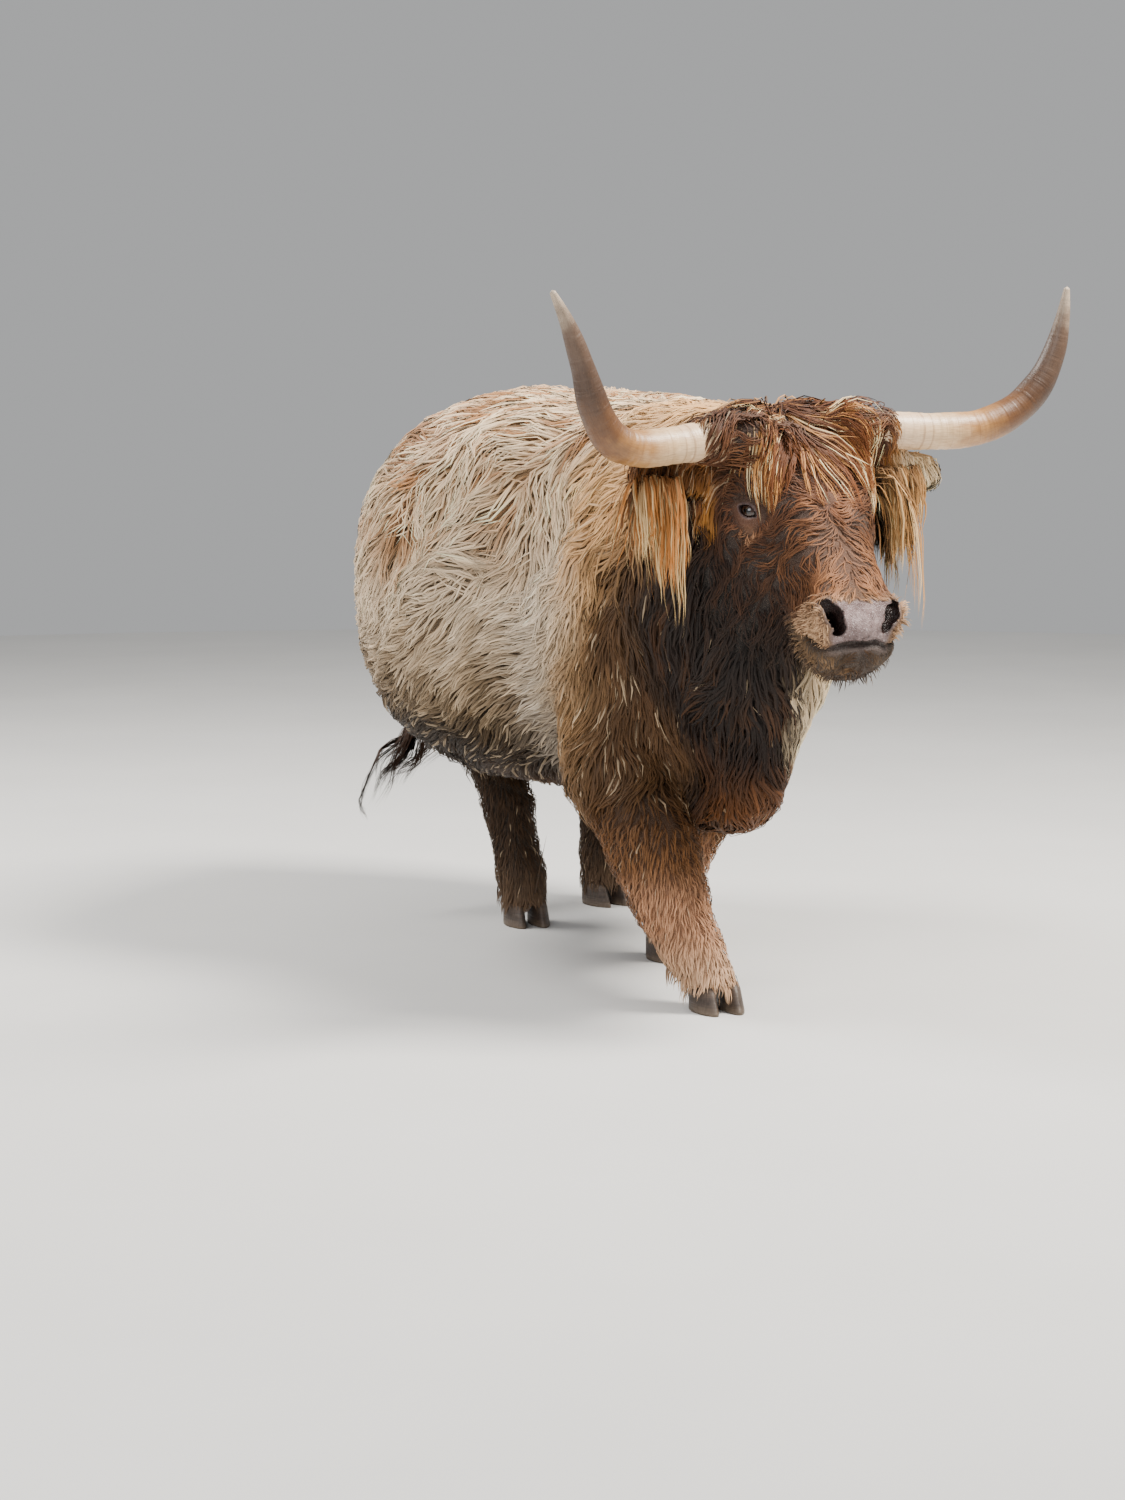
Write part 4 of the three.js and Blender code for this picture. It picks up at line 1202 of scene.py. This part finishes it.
def unwrap(p, kind):
    """A place on an unrolled skin: round the trunk, a limb or the face, and along it."""
    x, y, z = p.T
    if kind == "face":
        u, v, w = in_head(p).T
        return np.stack([turn_share(u, w + 0.10), v], 1)
    if kind == "limb":
        middle, depth = [np.stack([np.interp(z, rows[::-1, 2], rows[::-1, k]) for rows in LIMBS])
                         for k in (0, 1)]
        near = np.argmin(np.hypot(x - middle, y - depth), 0)
        i = np.arange(len(p))
        return np.stack([turn_share(x - middle[near, i], y - depth[near, i]) + near * 1.02, z], 1)
    if kind == "ear":
        return np.stack([x, z + 0.4 * y], 1)
    if kind == "tail":
        return np.stack([turn_share(x - 0.05, y - 1.08), z - 0.2 * x], 1)
    return np.stack([y, turn_share(x - middle_line(y), 0.74 - z)], 1)


def row_of(faces):
    """All the faces' corners in one row, and where each face begins."""
    sizes = np.array([len(face) for face in faces])
    return np.array([i for face in faces for i in face]), np.cumsum(sizes) - sizes


def lock_faces(rings):
    """Faces of one lock: three sides from ring to ring, a point, and the end that sits in the skin."""
    faces = []
    for k in range(0, 3 * rings, 3):
        for a in range(3):
            b = (a + 1) % 3
            tip = k == 3 * rings - 3
            faces.append((k + b, k + a, k + 3) if tip else (k + b, k + a, k + 3 + a, k + 3 + b))
    return faces + [(0, 1, 2)]


def by_lock(sides, end):
    """Values at the three sides, ring by ring, and at the end, in the order of each lock's points."""
    sides = np.stack(sides, 2).transpose(1, 0, 2, 3)
    return np.concatenate([sides.reshape(len(sides), -1, 3), end[:, None]], 1)


def lock_colours(ends, shade, share, light, dice):
    """Darker roots, paler tips, each bunch and each lock a little of its own, and some paler ones."""
    base, tip = ends
    count = len(shade)
    tone = np.exp(0.10 * shade + 0.10 * dice.normal(size=count))[:, None]
    pale = (dice.random(count) < light)[:, None]
    tip = np.where(pale, tip * 0.55 + rgb(232, 206, 170) * 0.45, tip)
    base = np.where(pale, base * 0.7 + tip * 0.3, base)
    share = share[None, :, None]
    colour = (base[:, None] * (1 - share) + tip[:, None] * share) * tone[:, None]
    return np.clip(colour.reshape(-1, 3), 0, 0.95)


def locks(name, slot, path, outs, shade, width, seed, kind="trunk", colours=coat_colours, light=0.0,
          look=COAT, soft=0.55, contrast=0.75):
    """One joined mesh of closed three-sided locks along the paths."""
    dice = np.random.default_rng(seed)
    rings, count = path.shape[0] - 1, path.shape[1]
    tangent = unit(np.gradient(path, axis=0))
    spread = unit(np.cross(tangent, outs))
    rise = np.cross(spread, tangent)
    roll = dice.normal(size=count) * 0.45
    c, s = np.cos(roll)[None, :, None], np.sin(roll)[None, :, None]
    spread, rise = spread * c + rise * s, rise * c - spread * s
    t = np.arange(rings) / rings
    taper = (ROOT_WIDTH + (1 - ROOT_WIDTH) * np.minimum(t / 0.3, 1)) * (1 - t ** 2.2)
    w = (taper[:, None] * width[None, :])[..., None]
    core, beside, over = path[:-1], spread[:-1] * w / 2, rise[:-1] * w * LOCK_DEPTH / 3
    points = by_lock([core - beside - over, core + beside - over, core + 2 * over], path[-1])
    corners, begins = row_of(lock_faces(rings))
    each = np.arange(count)[:, None]
    ob = make_mesh(name, slot, points.reshape(-1, 3), (corners[None] + each * (rings * 3 + 1)).ravel(),
                   (begins[None] + each * len(corners)).ravel())
    sides = [outs[:-1] * 0.3 - spread[:-1] * 0.8, outs[:-1] * 0.3 + spread[:-1] * 0.8, rise[:-1]]
    facing = by_lock([unit(side * (1 - soft) + outs[:-1] * soft) for side in sides],
                     unit(outs[-1] * 0.8 + rise[-1] * 0.2))
    paint(ob, "custom_normal", facing.reshape(-1, 3))
    share = np.concatenate([np.repeat(t, 3), [1.0]]) ** contrast
    paint_coat(ob, lock_colours(colours(path[0], outs[0]), shade, share, light, dice))
    at = unwrap(path[0], kind)
    at = 0.01 + 0.98 * (at - at.min(0)) / np.maximum(at.max(0) - at.min(0), 1e-6)
    patch = np.array([(side, k / rings) for k in range(rings) for side in (0, 1, 0.5)] + [(0.5, 1)]) - 0.5
    uv = at[:, None] + PATCH * patch[corners][None]
    ob.data.uv_layers.new(name="OFBake").data.foreach_set("uv", uv.astype(np.float32).ravel())
    ob.data.materials.append(look)


def coat(name, slot, count, mask, length, width, rings, seed, kind="trunk", stand=1.0, light=0.0, look=COAT,
         colours=coat_colours, contrast=0.75, soft=0.55, **lay):
    """Locks over the part of the skin where the mask says; length and width may vary with the place."""
    p = sow(count, mask, seed)
    dice = np.random.default_rng(seed + 500)
    length, width, stand = [value(p) if callable(value) else value for value in (length, width, stand)]
    lift = coat_depth(p) * (0.40 + 0.6 * dice.random(count)) * stand
    path, outs, shade = grow(p, length * (0.75 + 0.5 * dice.random(count)), rings, lift, seed, **lay)
    locks(name, slot, path, outs, shade, width * (0.7 + 0.6 * dice.random(count)), seed, kind, colours, light,
          look, soft, contrast)


def hanging(name, slot, count, mask, length, width, rings, seed, way, kind, colours=coat_colours, soft=0.5,
            **lay):
    """Locks that hang free from the part of the skin where the mask says."""
    p = sow(count, mask, seed)
    dice = np.random.default_rng(seed + 500)
    long = length(p) * (0.5 + 0.65 * dice.random(count)) * (0.80 + 0.30 * noise(p, 0.022, seed))
    path, outs, shade = hang(p, long, rings, way, seed, **lay)
    path[..., 2] = np.maximum(path[..., 2], 0.004)
    locks(name, slot, trim(path), outs, shade, width * (0.7 + 0.6 * dice.random(count)), seed, kind, colours,
          look=FACE_COAT, soft=soft)


def spans(places, *pairs):
    """The value at each place between (place, value) pairs."""
    return np.interp(places, [at for at, value in pairs], [value for at, value in pairs])


# ---- where each length of the coat grows ---------------------------------------------------------------
x, y, z = tri_at.T
tri_head = in_head(tri_at)
u, v, w = tri_head.T
on_head = head_share(tri_at)
on_ear = step(0.128, 0.150, np.abs(x)) * (y < -0.335) * (z > 0.93)
on_leg = (1 - step(0.38, 0.44, z)) * (tri_out[:, 2] > -0.75)
on_body = (1 - on_head) * (1 - on_ear)
off_bag = ball(tri_at, *UDDER) >= 0.010
rise, there = mouth_line(tri_head)
near_horn = np.zeros(len(tri_at))
for horn in HORNS.values():
    root = bone(tri_at, horn[0, :3], horn[2, :3], 0.032, 0.031) < 0
    near_horn = np.maximum(near_horn, root * (np.abs(u) > 0.11))


def face_mask():
    """The face but for bare hide, lids and horns; thicker on muzzle, whorl and brow, thinner on the crown."""
    bare, _ = bare_parts(tri_at, tri_head)
    ahead, _, _, far = eye_frame(tri_head)
    lid = (far < 0.0275) * (ahead > -0.002)
    crown = step(0.075, 0.035, v) * (w > -0.13) * (np.abs(u) < 0.145)
    muzzle = 1.8 * step(0.30, 0.42, v) + 3.5 * bump(np.abs(u), 0.088, 0.022) * step(0.375, 0.405, v)
    thick = 1 + muzzle + 5 * bump(np.hypot(u, v - WHORL), 0, 0.026) + 5 * bump(far, 0.034, 0.010)
    hairy = (1 - 0.70 * crown) * (bare < 0.4) * (nostril(tri_head) > 0.002) * ~lid * (1 - near_horn)
    return on_head * (1 - on_ear) * hairy * (1 - there * bump(rise, 0, 0.004)) * thick


def trunk_coat(name, sign):
    """Back, rump, flank, thigh, shoulder and neck of one side."""
    trunk = on_body * (1 - on_leg) * (y < 1.085) * off_bag
    here = (x - middle_line(y)) * sign > 0
    upper = trunk * here * step(0.74, 0.84, z)
    lower = trunk * here * (1 - step(0.74, 0.84, z))
    neck = trunk * here * (y < -0.12) * ((z < 0.84) * (y < -0.15) + (z >= 0.84))
    first = 101 if sign > 0 else 1
    fine = dict(jitter=0.10, clump_size=6)
    plain = dict(swirl_size=0.16, wave=0.004, **fine)
    coat(f"coat_back_{name}", "coat_back", 4000, upper * (y > -0.12) * (y < 0.52), 0.130, 0.0056, 4, first,
         swirl=0.75, swirl_size=0.20, clump=0.80, wave=0.010, light=0.22, stand=1.15, jitter=0.10,
         clump_size=11)
    coat(f"coat_rump_{name}", "coat_back", 3450, upper * (y >= 0.52), 0.085, 0.0054, 3, first + 1,
         swirl=0.45, clump=0.45, light=0.2, stand=1.05, **plain)
    coat(f"coat_flank_{name}", "coat_side", 5900, lower * (y >= 0.10) * (y < 0.66), 0.076, 0.0056, 3,
         first + 2, swirl=0.45, clump=0.50, light=0.12, contrast=0.65, **plain)
    coat(f"coat_thigh_{name}", "coat_side", 4100, lower * (y >= 0.66), 0.076, 0.0056, 3, first + 3,
         swirl=0.40, clump=0.45, light=0.10, contrast=0.65, **plain)
    coat(f"coat_shoulder_{name}", "coat_side", 4300, lower * (y < 0.10) * (y >= -0.15), 0.080, 0.0052, 3,
         first + 4, swirl=0.4, swirl_size=0.15, clump=0.45, wave=0.004, light=0.06, contrast=0.65, **fine)
    coat(f"coat_neck_{name}", "coat_dark", 3600, neck, 0.120, 0.0058, 4, first + 5,
         swirl=0.50, swirl_size=0.17, clump=0.62, wave=0.007, light=0.015, **fine)


# Legs, with longer hair behind the knees and round the feet.
def leg_long(p):
    behind = 1 + 0.9 * step(0.0, 0.7, unit(feel(p)[1])[:, 1]) * bump(p[:, 2], 0.20, 0.10)
    return behind * spans(p[:, 2], (0.05, 0.040), (0.09, 0.046), (0.15, 0.034), (0.24, 0.034), (0.34, 0.044),
                          (0.44, 0.060))


def leg_wide(p):
    return spans(p[:, 2], (0.05, 0.0030), (0.20, 0.0034), (0.40, 0.0048))


def leg_coat(name, here, seed):
    mask = on_body * on_leg * (z > 0.046) * off_bag * (1 + 1.6 * (1 - step(0.2, 0.4, z)))
    coat(f"coat_legs_{name}", "coat_leg", 5800, mask * here, leg_long, leg_wide, 2, seed, kind="limb",
         swirl=0.25, swirl_size=0.08, jitter=0.10, clump=0.35, clump_size=6, light=0.03, droop=0.35,
         contrast=0.6, tuck=0.45, stand=0.8)


# Face: short hair in rays from the whorl, finest on the muzzle.
def face_long(p):
    h = in_head(p)
    base = spans(h[:, 1], (-0.05, 0.056), (0.10, 0.062), (0.16, 0.062), (0.32, 0.056), (0.385, 0.036),
                 (0.44, 0.024))
    base = base * (1 - 0.5 * bump(np.hypot(h[:, 0], h[:, 1] - WHORL), 0, 0.03))
    base = base * spans(eye_frame(h)[3], (0.026, 0.25), (0.034, 0.35), (0.07, 1.0))
    return base + 0.022 * step(-0.10, -0.17, h[:, 2]) * (1 - step(0.34, 0.42, h[:, 1]))


def face_wide(p):
    h = in_head(p)
    fine = spans(h[:, 1], (0.0, 0.0040), (0.16, 0.0032), (0.36, 0.0027), (0.46, 0.0018))
    return fine * spans(eye_frame(h)[3], (0.025, 0.5), (0.06, 1.0))


def face_coat(name, sign, mask):
    coat(f"coat_face_{name}", "coat_face", 3800, mask * (u * sign > 0), face_long, face_wide, 4, 31 + sign,
         kind="face", look=FACE_COAT, swirl=0.60, swirl_size=0.055, jitter=0.14, clump=0.62, clump_size=8,
         wave=0.006, stand=1.15, tuck=0.4)


# Forelock: parted on the crown, swept down over the brow and out over the roots of the horns.
PARTING = -0.014


def forelock_way(at, n, t):
    h = in_head(at)
    across = np.abs(h[:, 0])
    side = np.tanh((h[:, 0] - PARTING) / 0.02)[:, None]
    wide = step(0.085, 0.130, across)[:, None]
    top = 1 - step(0.02, 0.10, h[:, 1])[:, None]
    reach = (1.05 + 0.50 * top) * (1 - wide)
    flank = 0.8 * (step(0.055, 0.095, across) * step(0.16, 0.10, h[:, 1]))[:, None]
    forward = (1.0 - 0.55 * top + 0.25 * t) * (1 - 0.4 * wide)
    return forward * ALONG + side * reach * ACROSS + (0.3 * t + 0.9 * wide) * DOWN - flank * OUT


def forelock_long(p):
    """Shorter over the eyes, longer outside them, where it hangs past the roots of the horns."""
    h = in_head(p)
    side = np.abs(h[:, 0])
    share = 1 - 0.22 * step(0.04, 0.08, side) + 0.65 * step(0.088, 0.118, side)
    return spans(h[:, 1], (-0.05, 0.30), (0.08, 0.135)) * share


def forelock_stand(p):
    return spans(np.abs(in_head(p)[:, 0] - PARTING), (0, 1.15), (0.05, 0.85), (0.11, 0.45))


def forelock_colours(p, way):
    """Dark on the crown and in the middle, blond streaks towards the sides."""
    dice = np.random.default_rng(77)
    h = in_head(p)
    kind = noise(h * [1, 0.35, 0.35], 0.016, 78) + 0.42 * dice.normal(size=len(p))
    kind = kind + 0.95 * step(0.015, 0.07, np.abs(h[:, 0])) * step(-0.045, 0.02, h[:, 1]) - 0.34
    dark, brown = kind[:, None] < 0.1, kind[:, None] < 0.7
    root = np.where(dark, rgb(42, 25, 16), np.where(brown, rgb(70, 43, 27), rgb(112, 76, 48)))
    tip = np.where(dark, rgb(112, 71, 47), np.where(brown, rgb(206, 156, 112), rgb(255, 232, 194)))
    return rich(root), rich(tip)


def forelock():
    crown = (on_head * (v < 0.080) * (v > -0.07) * (np.abs(u) < 0.150) * (1 - near_horn) * (w > -0.13)
             * (1 + 2.5 * bump(u, PARTING, 0.045)))
    coat("forelock", "coat_face", 3300, crown, forelock_long, 0.0036, 6, 41, kind="face", look=FACE_COAT,
         way=forelock_way, swirl=0.14, swirl_size=0.16, jitter=0.03, clump=0.55, clump_size=22, wave=0.004,
         colours=forelock_colours, soft=0.5, tuck=0.3, stand=forelock_stand)


# Ears: short hair on the leaf, and the long fringe that hangs from its outer part.
FRINGES = {"right": (0.228, 0.305, 0.988), "left": (0.140, 0.240, 1.0)}


def fringe_colours(p, way):
    dice = np.random.default_rng(78)
    dark = (noise(p, 0.02, 79) + 0.5 * dice.normal(size=len(p)))[:, None] < 0.5
    left = p[:, :1] > 0
    root = np.where(dark, rgb(56, 33, 18), np.where(left, rgb(150, 106, 64), rgb(104, 62, 30)))
    tip = np.where(left, rgb(216, 160, 98), rgb(206, 134, 66))
    return root, np.where(dark, tip, rgb(252, 214, 154))


def fringe_way(p, n):
    return 0.9 * n + 0.25 * np.sign(p[:, :1]) * SIDE - 0.25 * BACK + 0.2 * DOWN


def ear_coat(name, sign):
    leaf = on_ear * (x * sign > 0)
    coat(f"coat_ear_{name}", "ear_hair", 1500, leaf, 0.060, 0.0036, 3, 51 + sign, kind="ear",
         look=FACE_COAT, swirl=0.25, swirl_size=0.06, jitter=0.16, clump=0.5, clump_size=8, stand=0.9,
         light=0.1, droop=0.4, tuck=0.0)
    near, far, top = FRINGES[name]
    edge = (tri_out[:, 2] < 0.4) * (tri_out[:, 1] < 0.5) * (np.abs(x) > near) * (np.abs(x) < far) * (z < top)

    def fringe_long(p):
        return spans(np.abs(p[:, 0]), (near, 0.19), (near + 0.03, 0.25), (near + 0.09, 0.12), (0.305, 0.05))

    hanging(f"fringe_{name}", "ear_hair", 760, leaf * edge, fringe_long, 0.0038, 6, 61 + sign, fringe_way,
            "ear", fringe_colours, soft=0.45, weight=0.55, wave=0.004, clump=0.65, clump_size=12, jitter=0.07)


# Tail: brown hair down the shaft, which sweeps over to the right below.
def tail_way(at, n, t):
    return DOWN + spans(at[:, 2], (0.5, -0.8), (0.62, -0.25), (0.8, -0.05))[:, None] * SIDE


def tail_coat():
    dock = on_body * (y > 1.075) * step(0.19, 0.10, np.abs(x - 0.03))
    coat("coat_tail", "coat_dark", 1500, dock, 0.085, 0.0054, 4, 71, kind="tail", way=tail_way, swirl=0.25,
         swirl_size=0.08, jitter=0.16, clump=0.5, clump_size=7, wave=0.004, light=0.1, droop=0.6)


# Hair that hangs over the tops of the hooves, and the rough hair of the lips and under the jaw.
def foot_hair():
    hanging("coat_feet", "coat_leg", 1500, on_body * (z > 0.048) * (z < 0.085),
            lambda p: np.full(len(p), 0.042), 0.0032, 3, 91, lambda p, n: 0.5 * n + 0.9 * DOWN, "limb",
            weight=0.5, wave=0.004, clump=0.6, clump_size=11, jitter=0.10)


def muzzle_hair(mask):
    jaw = step(0.30, 0.36, v) * step(-0.070, -0.095, w) * (rise < 0.002)
    lips = 1.5 * step(0.375, 0.405, v) * (np.abs(u) > 0.066) * (rise > 0.0)
    hanging("muzzle_hair", "coat_face", 1500, mask * (jaw + lips), lambda p: np.full(len(p), 0.024),
            0.0022, 3, 92, lambda p, n: 0.6 * n + 0.3 * DOWN - 0.5 * ALONG, "face", weight=0.25, wave=0.002,
            clump=0.45, clump_size=7, jitter=0.16)


hairy_face = face_mask()
for name, sign in BOTH_SIDES:
    trunk_coat(name, sign)
leg_coat("fore", y < 0.45, 21)
leg_coat("hind", y >= 0.45, 22)
for name, sign in BOTH_SIDES:
    face_coat(name, sign, hairy_face)
forelock()
for name, sign in BOTH_SIDES:
    ear_coat(name, sign)
tail_coat()
foot_hair()
muzzle_hair(hairy_face)


# ---- horns, eyes and hooves ---------------------------------------------------------------------------
def wheel(around):
    """Even angles round a full turn."""
    return np.arange(around) / around * 2 * math.pi


def ring_faces(rings, around):
    """Faces of a closed body of rings; its last two points close the first ring and the last one."""
    faces = []
    for i in range(rings - 1):
        for j in range(around):
            k = (j + 1) % around
            faces.append((i * around + j, i * around + k, (i + 1) * around + k, (i + 1) * around + j))
    first = rings * around
    for j in range(around):
        k = (j + 1) % around
        faces.append((first, k, j))
        faces.append((first + 1, first - around + j, first - around + k))
    return faces


def curve(rows, count):
    """A smooth path through the rows, at even steps of the rows' numbers."""
    last = len(rows) - 1
    s = np.linspace(0, last, count)
    i = np.clip(np.floor(s).astype(int), 0, last - 1)
    t = (s - i)[:, None]
    a, b, c, d = rows[np.maximum(i - 1, 0)], rows[i], rows[i + 1], rows[np.minimum(i + 2, last)]
    t2, t3 = t ** 2, t ** 3
    leave, arrive = (t3 - 2 * t2 + t) * (c - a) / 2, (t3 - t2) * (d - b) / 2
    return (2 * t3 - 3 * t2 + 1) * b + leave + (3 * t2 - 2 * t3) * c + arrive


def far_along(path):
    """How far along the path each of its points is."""
    return np.concatenate([[0], np.cumsum(np.linalg.norm(np.diff(path, axis=0), axis=1))])


def tube(name, slot, path, radii):
    """A closed tube along a path; radii is (rows, around)."""
    tangent = unit(np.gradient(path, axis=0))
    normal = unit(np.cross(tangent[0], [0, 0, 1.0]))
    ups = []
    for way in tangent:
        normal = unit(normal - way * (normal @ way))
        ups.append(normal)
    ups = np.array(ups)
    angle = wheel(radii.shape[1])[None, :, None]
    spoke = np.cos(angle) * ups[:, None] + np.sin(angle) * np.cross(tangent, ups)[:, None]
    ring = path[:, None] + radii[..., None] * spoke
    ends = [path[0] - tangent[0] * 0.001, path[-1] + tangent[-1] * radii[-1].mean() * 0.7]
    points = np.concatenate([ring.reshape(-1, 3), ends])
    return make_mesh(name, slot, points, *row_of(ring_faces(*radii.shape)))


def horn(side, rows, look, count=150, around=36):
    """A horn with growth ridges that fade out towards its half."""
    path = curve(rows, count)
    along = far_along(path[:, :3])
    along /= along[-1]
    dice = np.random.default_rng(5 if side == "left" else 6)
    ridge = sum(bump(along, c, 0.004 + 0.003 * dice.random()) * (0.4 + 0.6 * dice.random())
                for c in np.cumsum(0.012 + 0.02 * dice.random(26)) if c < 0.5)
    angle = wheel(around)
    radii = (path[:, 3] * (1 + 0.018 * np.sin(along * 40)))[:, None] * (1 + 0.012 * np.cos(2 * angle + 0.7))
    radii = radii + (ridge * 0.0013 * (1 - along))[:, None] * (1 + 0.3 * np.cos(angle * 3 + 1))
    radii[-1] *= 0.55
    ob = tube(f"horn_{side}_fine", "horn", path[:, :3], radii)
    paint(ob, "along", np.concatenate([np.repeat(along, around), [0.0, 1.0]]))
    grain = [np.tile(np.cos(angle), count), np.tile(np.sin(angle), count), np.repeat(along * 6, around)]
    paint(ob, "round", np.concatenate([np.stack(grain, 1), [[0, 0, 0], [0, 0, 6]]]))
    ob.data.materials.append(look)
    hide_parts(f"horn_{side}")


def eye(name, sign, look, rings=39, around=56):
    """An eyeball that swells at the cornea; gaze is a place's distance from its middle, axis by axis."""
    axis, long, up = [way * [sign, 1, 1] for way in (EYE_OUT, EYE_LONG, EYE_UP)]
    angle = wheel(around)[::sign, None]
    ring = []
    for i in range(1, rings + 1):
        a = i / (rings + 1) * math.pi
        cornea = 1 + 0.045 * math.exp(-((a / 0.55) ** 2))
        ring.append(cornea * (math.cos(a) * axis + math.sin(a) * (np.cos(angle) * long + np.sin(angle) * up)))
    local = np.concatenate([*ring, [axis * 1.045], [-axis]])
    points = POLL + (EYE_AT * [sign, 1, 1] + local * EYE_RADIUS) @ FACE_AXES
    ob = make_mesh(f"eye_{name}_fine", "eye", points, *row_of(ring_faces(rings, around)))
    paint(ob, "gaze", np.stack([local @ long, local @ up, local @ axis], 1))
    ob.data.materials.append(look)
    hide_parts(f"eye_{name}")


def claw(name, foot, side, look, rings=13, around=44):
    """One claw: a flat sole, a rounded wall leaning back from a pointed toe, and a soft bulb behind."""
    middle, rear, turned = foot
    c, s = np.cos(wheel(around)), np.sin(wheel(around))
    toe, half = np.maximum(-s, 0), CLAW_WIDTH / 2
    width = half * np.where(c * side < 0, 0.86, 1.02) * np.sign(c) * np.abs(c) ** 0.8
    reach = np.where(s < 0, 0.55 * np.abs(s) ** 1.08, 0.46 * np.abs(s) ** 0.8) * np.sign(s) * CLAW_LENGTH
    points = []
    for up in np.arange(rings) / (rings - 1):
        narrow = (1 - 0.14 * up) * (1 - 0.10 * step(0.8, 1.0, up))
        x = width * narrow * (1 - 0.34 * toe ** 2.2) - side * half * 0.10 * toe ** 2
        y = reach * narrow * (1 - 0.10 * up) + 0.014 * up
        worn = 0.97 if up == 0 else 1
        points.append(np.stack([x * worn, y * worn, np.full(around, up * CLAW_HEIGHT)], 1))
    points = np.concatenate([*points, [[0, 0, 0], [0, 0.014, CLAW_HEIGHT]]])
    x, y = points[:, 0] + side * (half + 0.003), points[:, 1]
    a = math.radians(-turned if middle < 20 else turned)
    points[:, 0], points[:, 1] = (x * math.cos(a) - y * math.sin(a) + middle * 0.001,
                                  x * math.sin(a) + y * math.cos(a) + rear * 0.001)
    ob = make_mesh(f"{name}_fine", "hoof", points, *row_of(ring_faces(rings, around)))
    ob.data.materials.append(look)
    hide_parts(name)


horn_material, eye_material, hoof_material = horn_look(), eye_look(), hoof_look()
for side, rows in HORNS.items():
    horn(side, rows, horn_material)
for name, sign in BOTH_SIDES:
    eye(name, sign, eye_material)
for foot, spot in FEET.items():
    claw(f"claw_{foot}_a", spot, -1, hoof_material)
    claw(f"claw_{foot}_b", spot, 1, hoof_material)


# ---- the tail's switch: thin curling strands that spread apart beyond its end --------------------------
def places_on(path, far, s):
    """The places at the distances s along a path."""
    return np.stack([np.interp(s, far, path[:, m]) for m in range(3)], 1)


def switch_locks(count=320, rings=10, bunches=16):
    """Paths, ways out, shades and widths of the strands, which follow the tail and then hang on."""
    dice = np.random.default_rng(81)
    line = curve(TAIL, 600)
    centre = line[:, :3]
    far = far_along(centre)
    bunch = np.arange(count) % bunches
    begin = far[-1] * (0.52 + 0.30 * dice.random(bunches)[bunch] + 0.03 * dice.random(count))
    long = 0.18 + 0.15 * dice.random(bunches)[bunch] + 0.05 * dice.random(count)
    angle = (dice.random(bunches) * 2 * math.pi)[bunch] + 0.16 * dice.normal(size=count)
    reach = (0.35 + 0.9 * dice.random(bunches))[bunch] + 0.06 * dice.normal(size=count)
    phase = (dice.random(bunches) * 6.283)[bunch] + 0.12 * dice.normal(size=count)
    path, outs = [], []
    for k in range(rings + 1):
        t = k / rings
        s = begin + long * t
        ahead = unit(places_on(centre, far, s + 0.01) - places_on(centre, far, s - 0.01))
        ahead = np.where(s[:, None] > far[-1] - 0.012, unit(centre[-1] - centre[-40]), ahead)
        width = np.interp(s, far, np.maximum(line[:, 3], 0.022)) * (0.12 + 0.80 * reach * min(1, t * 2.2))
        up = unit(np.cross(np.cross(ahead, [0.2, 0.3, 1.0]), ahead))
        over = np.cross(ahead, up)
        a = angle + 0.7 * np.sin(s * 26 + phase)
        out = np.cos(a)[:, None] * up + np.sin(a)[:, None] * over
        past = np.clip(s - far[-1], 0, 0.10)[:, None]
        sag = (0.060 * t * t * (0.3 + reach))[:, None] * (0.2 * SIDE + DOWN)
        curl = over * (0.012 * t * np.sin(s * 52 + phase))[:, None]
        beyond = past * ahead * 0.7 + 5 * past ** 2 * DOWN
        path.append(places_on(centre, far, s) + out * width[:, None] + beyond + sag + curl)
        outs.append(out)
    return np.stack(path), np.stack(outs), dice.normal(size=bunches)[bunch], np.full(count, 0.0026)


def switch_colours(p, way):
    c = Coat(len(p), (92, 62, 42), (52, 37, 28))
    return c.root, c.tip


locks("tail_switch_hair", "coat_dark", *switch_locks(), 82, "tail", switch_colours)
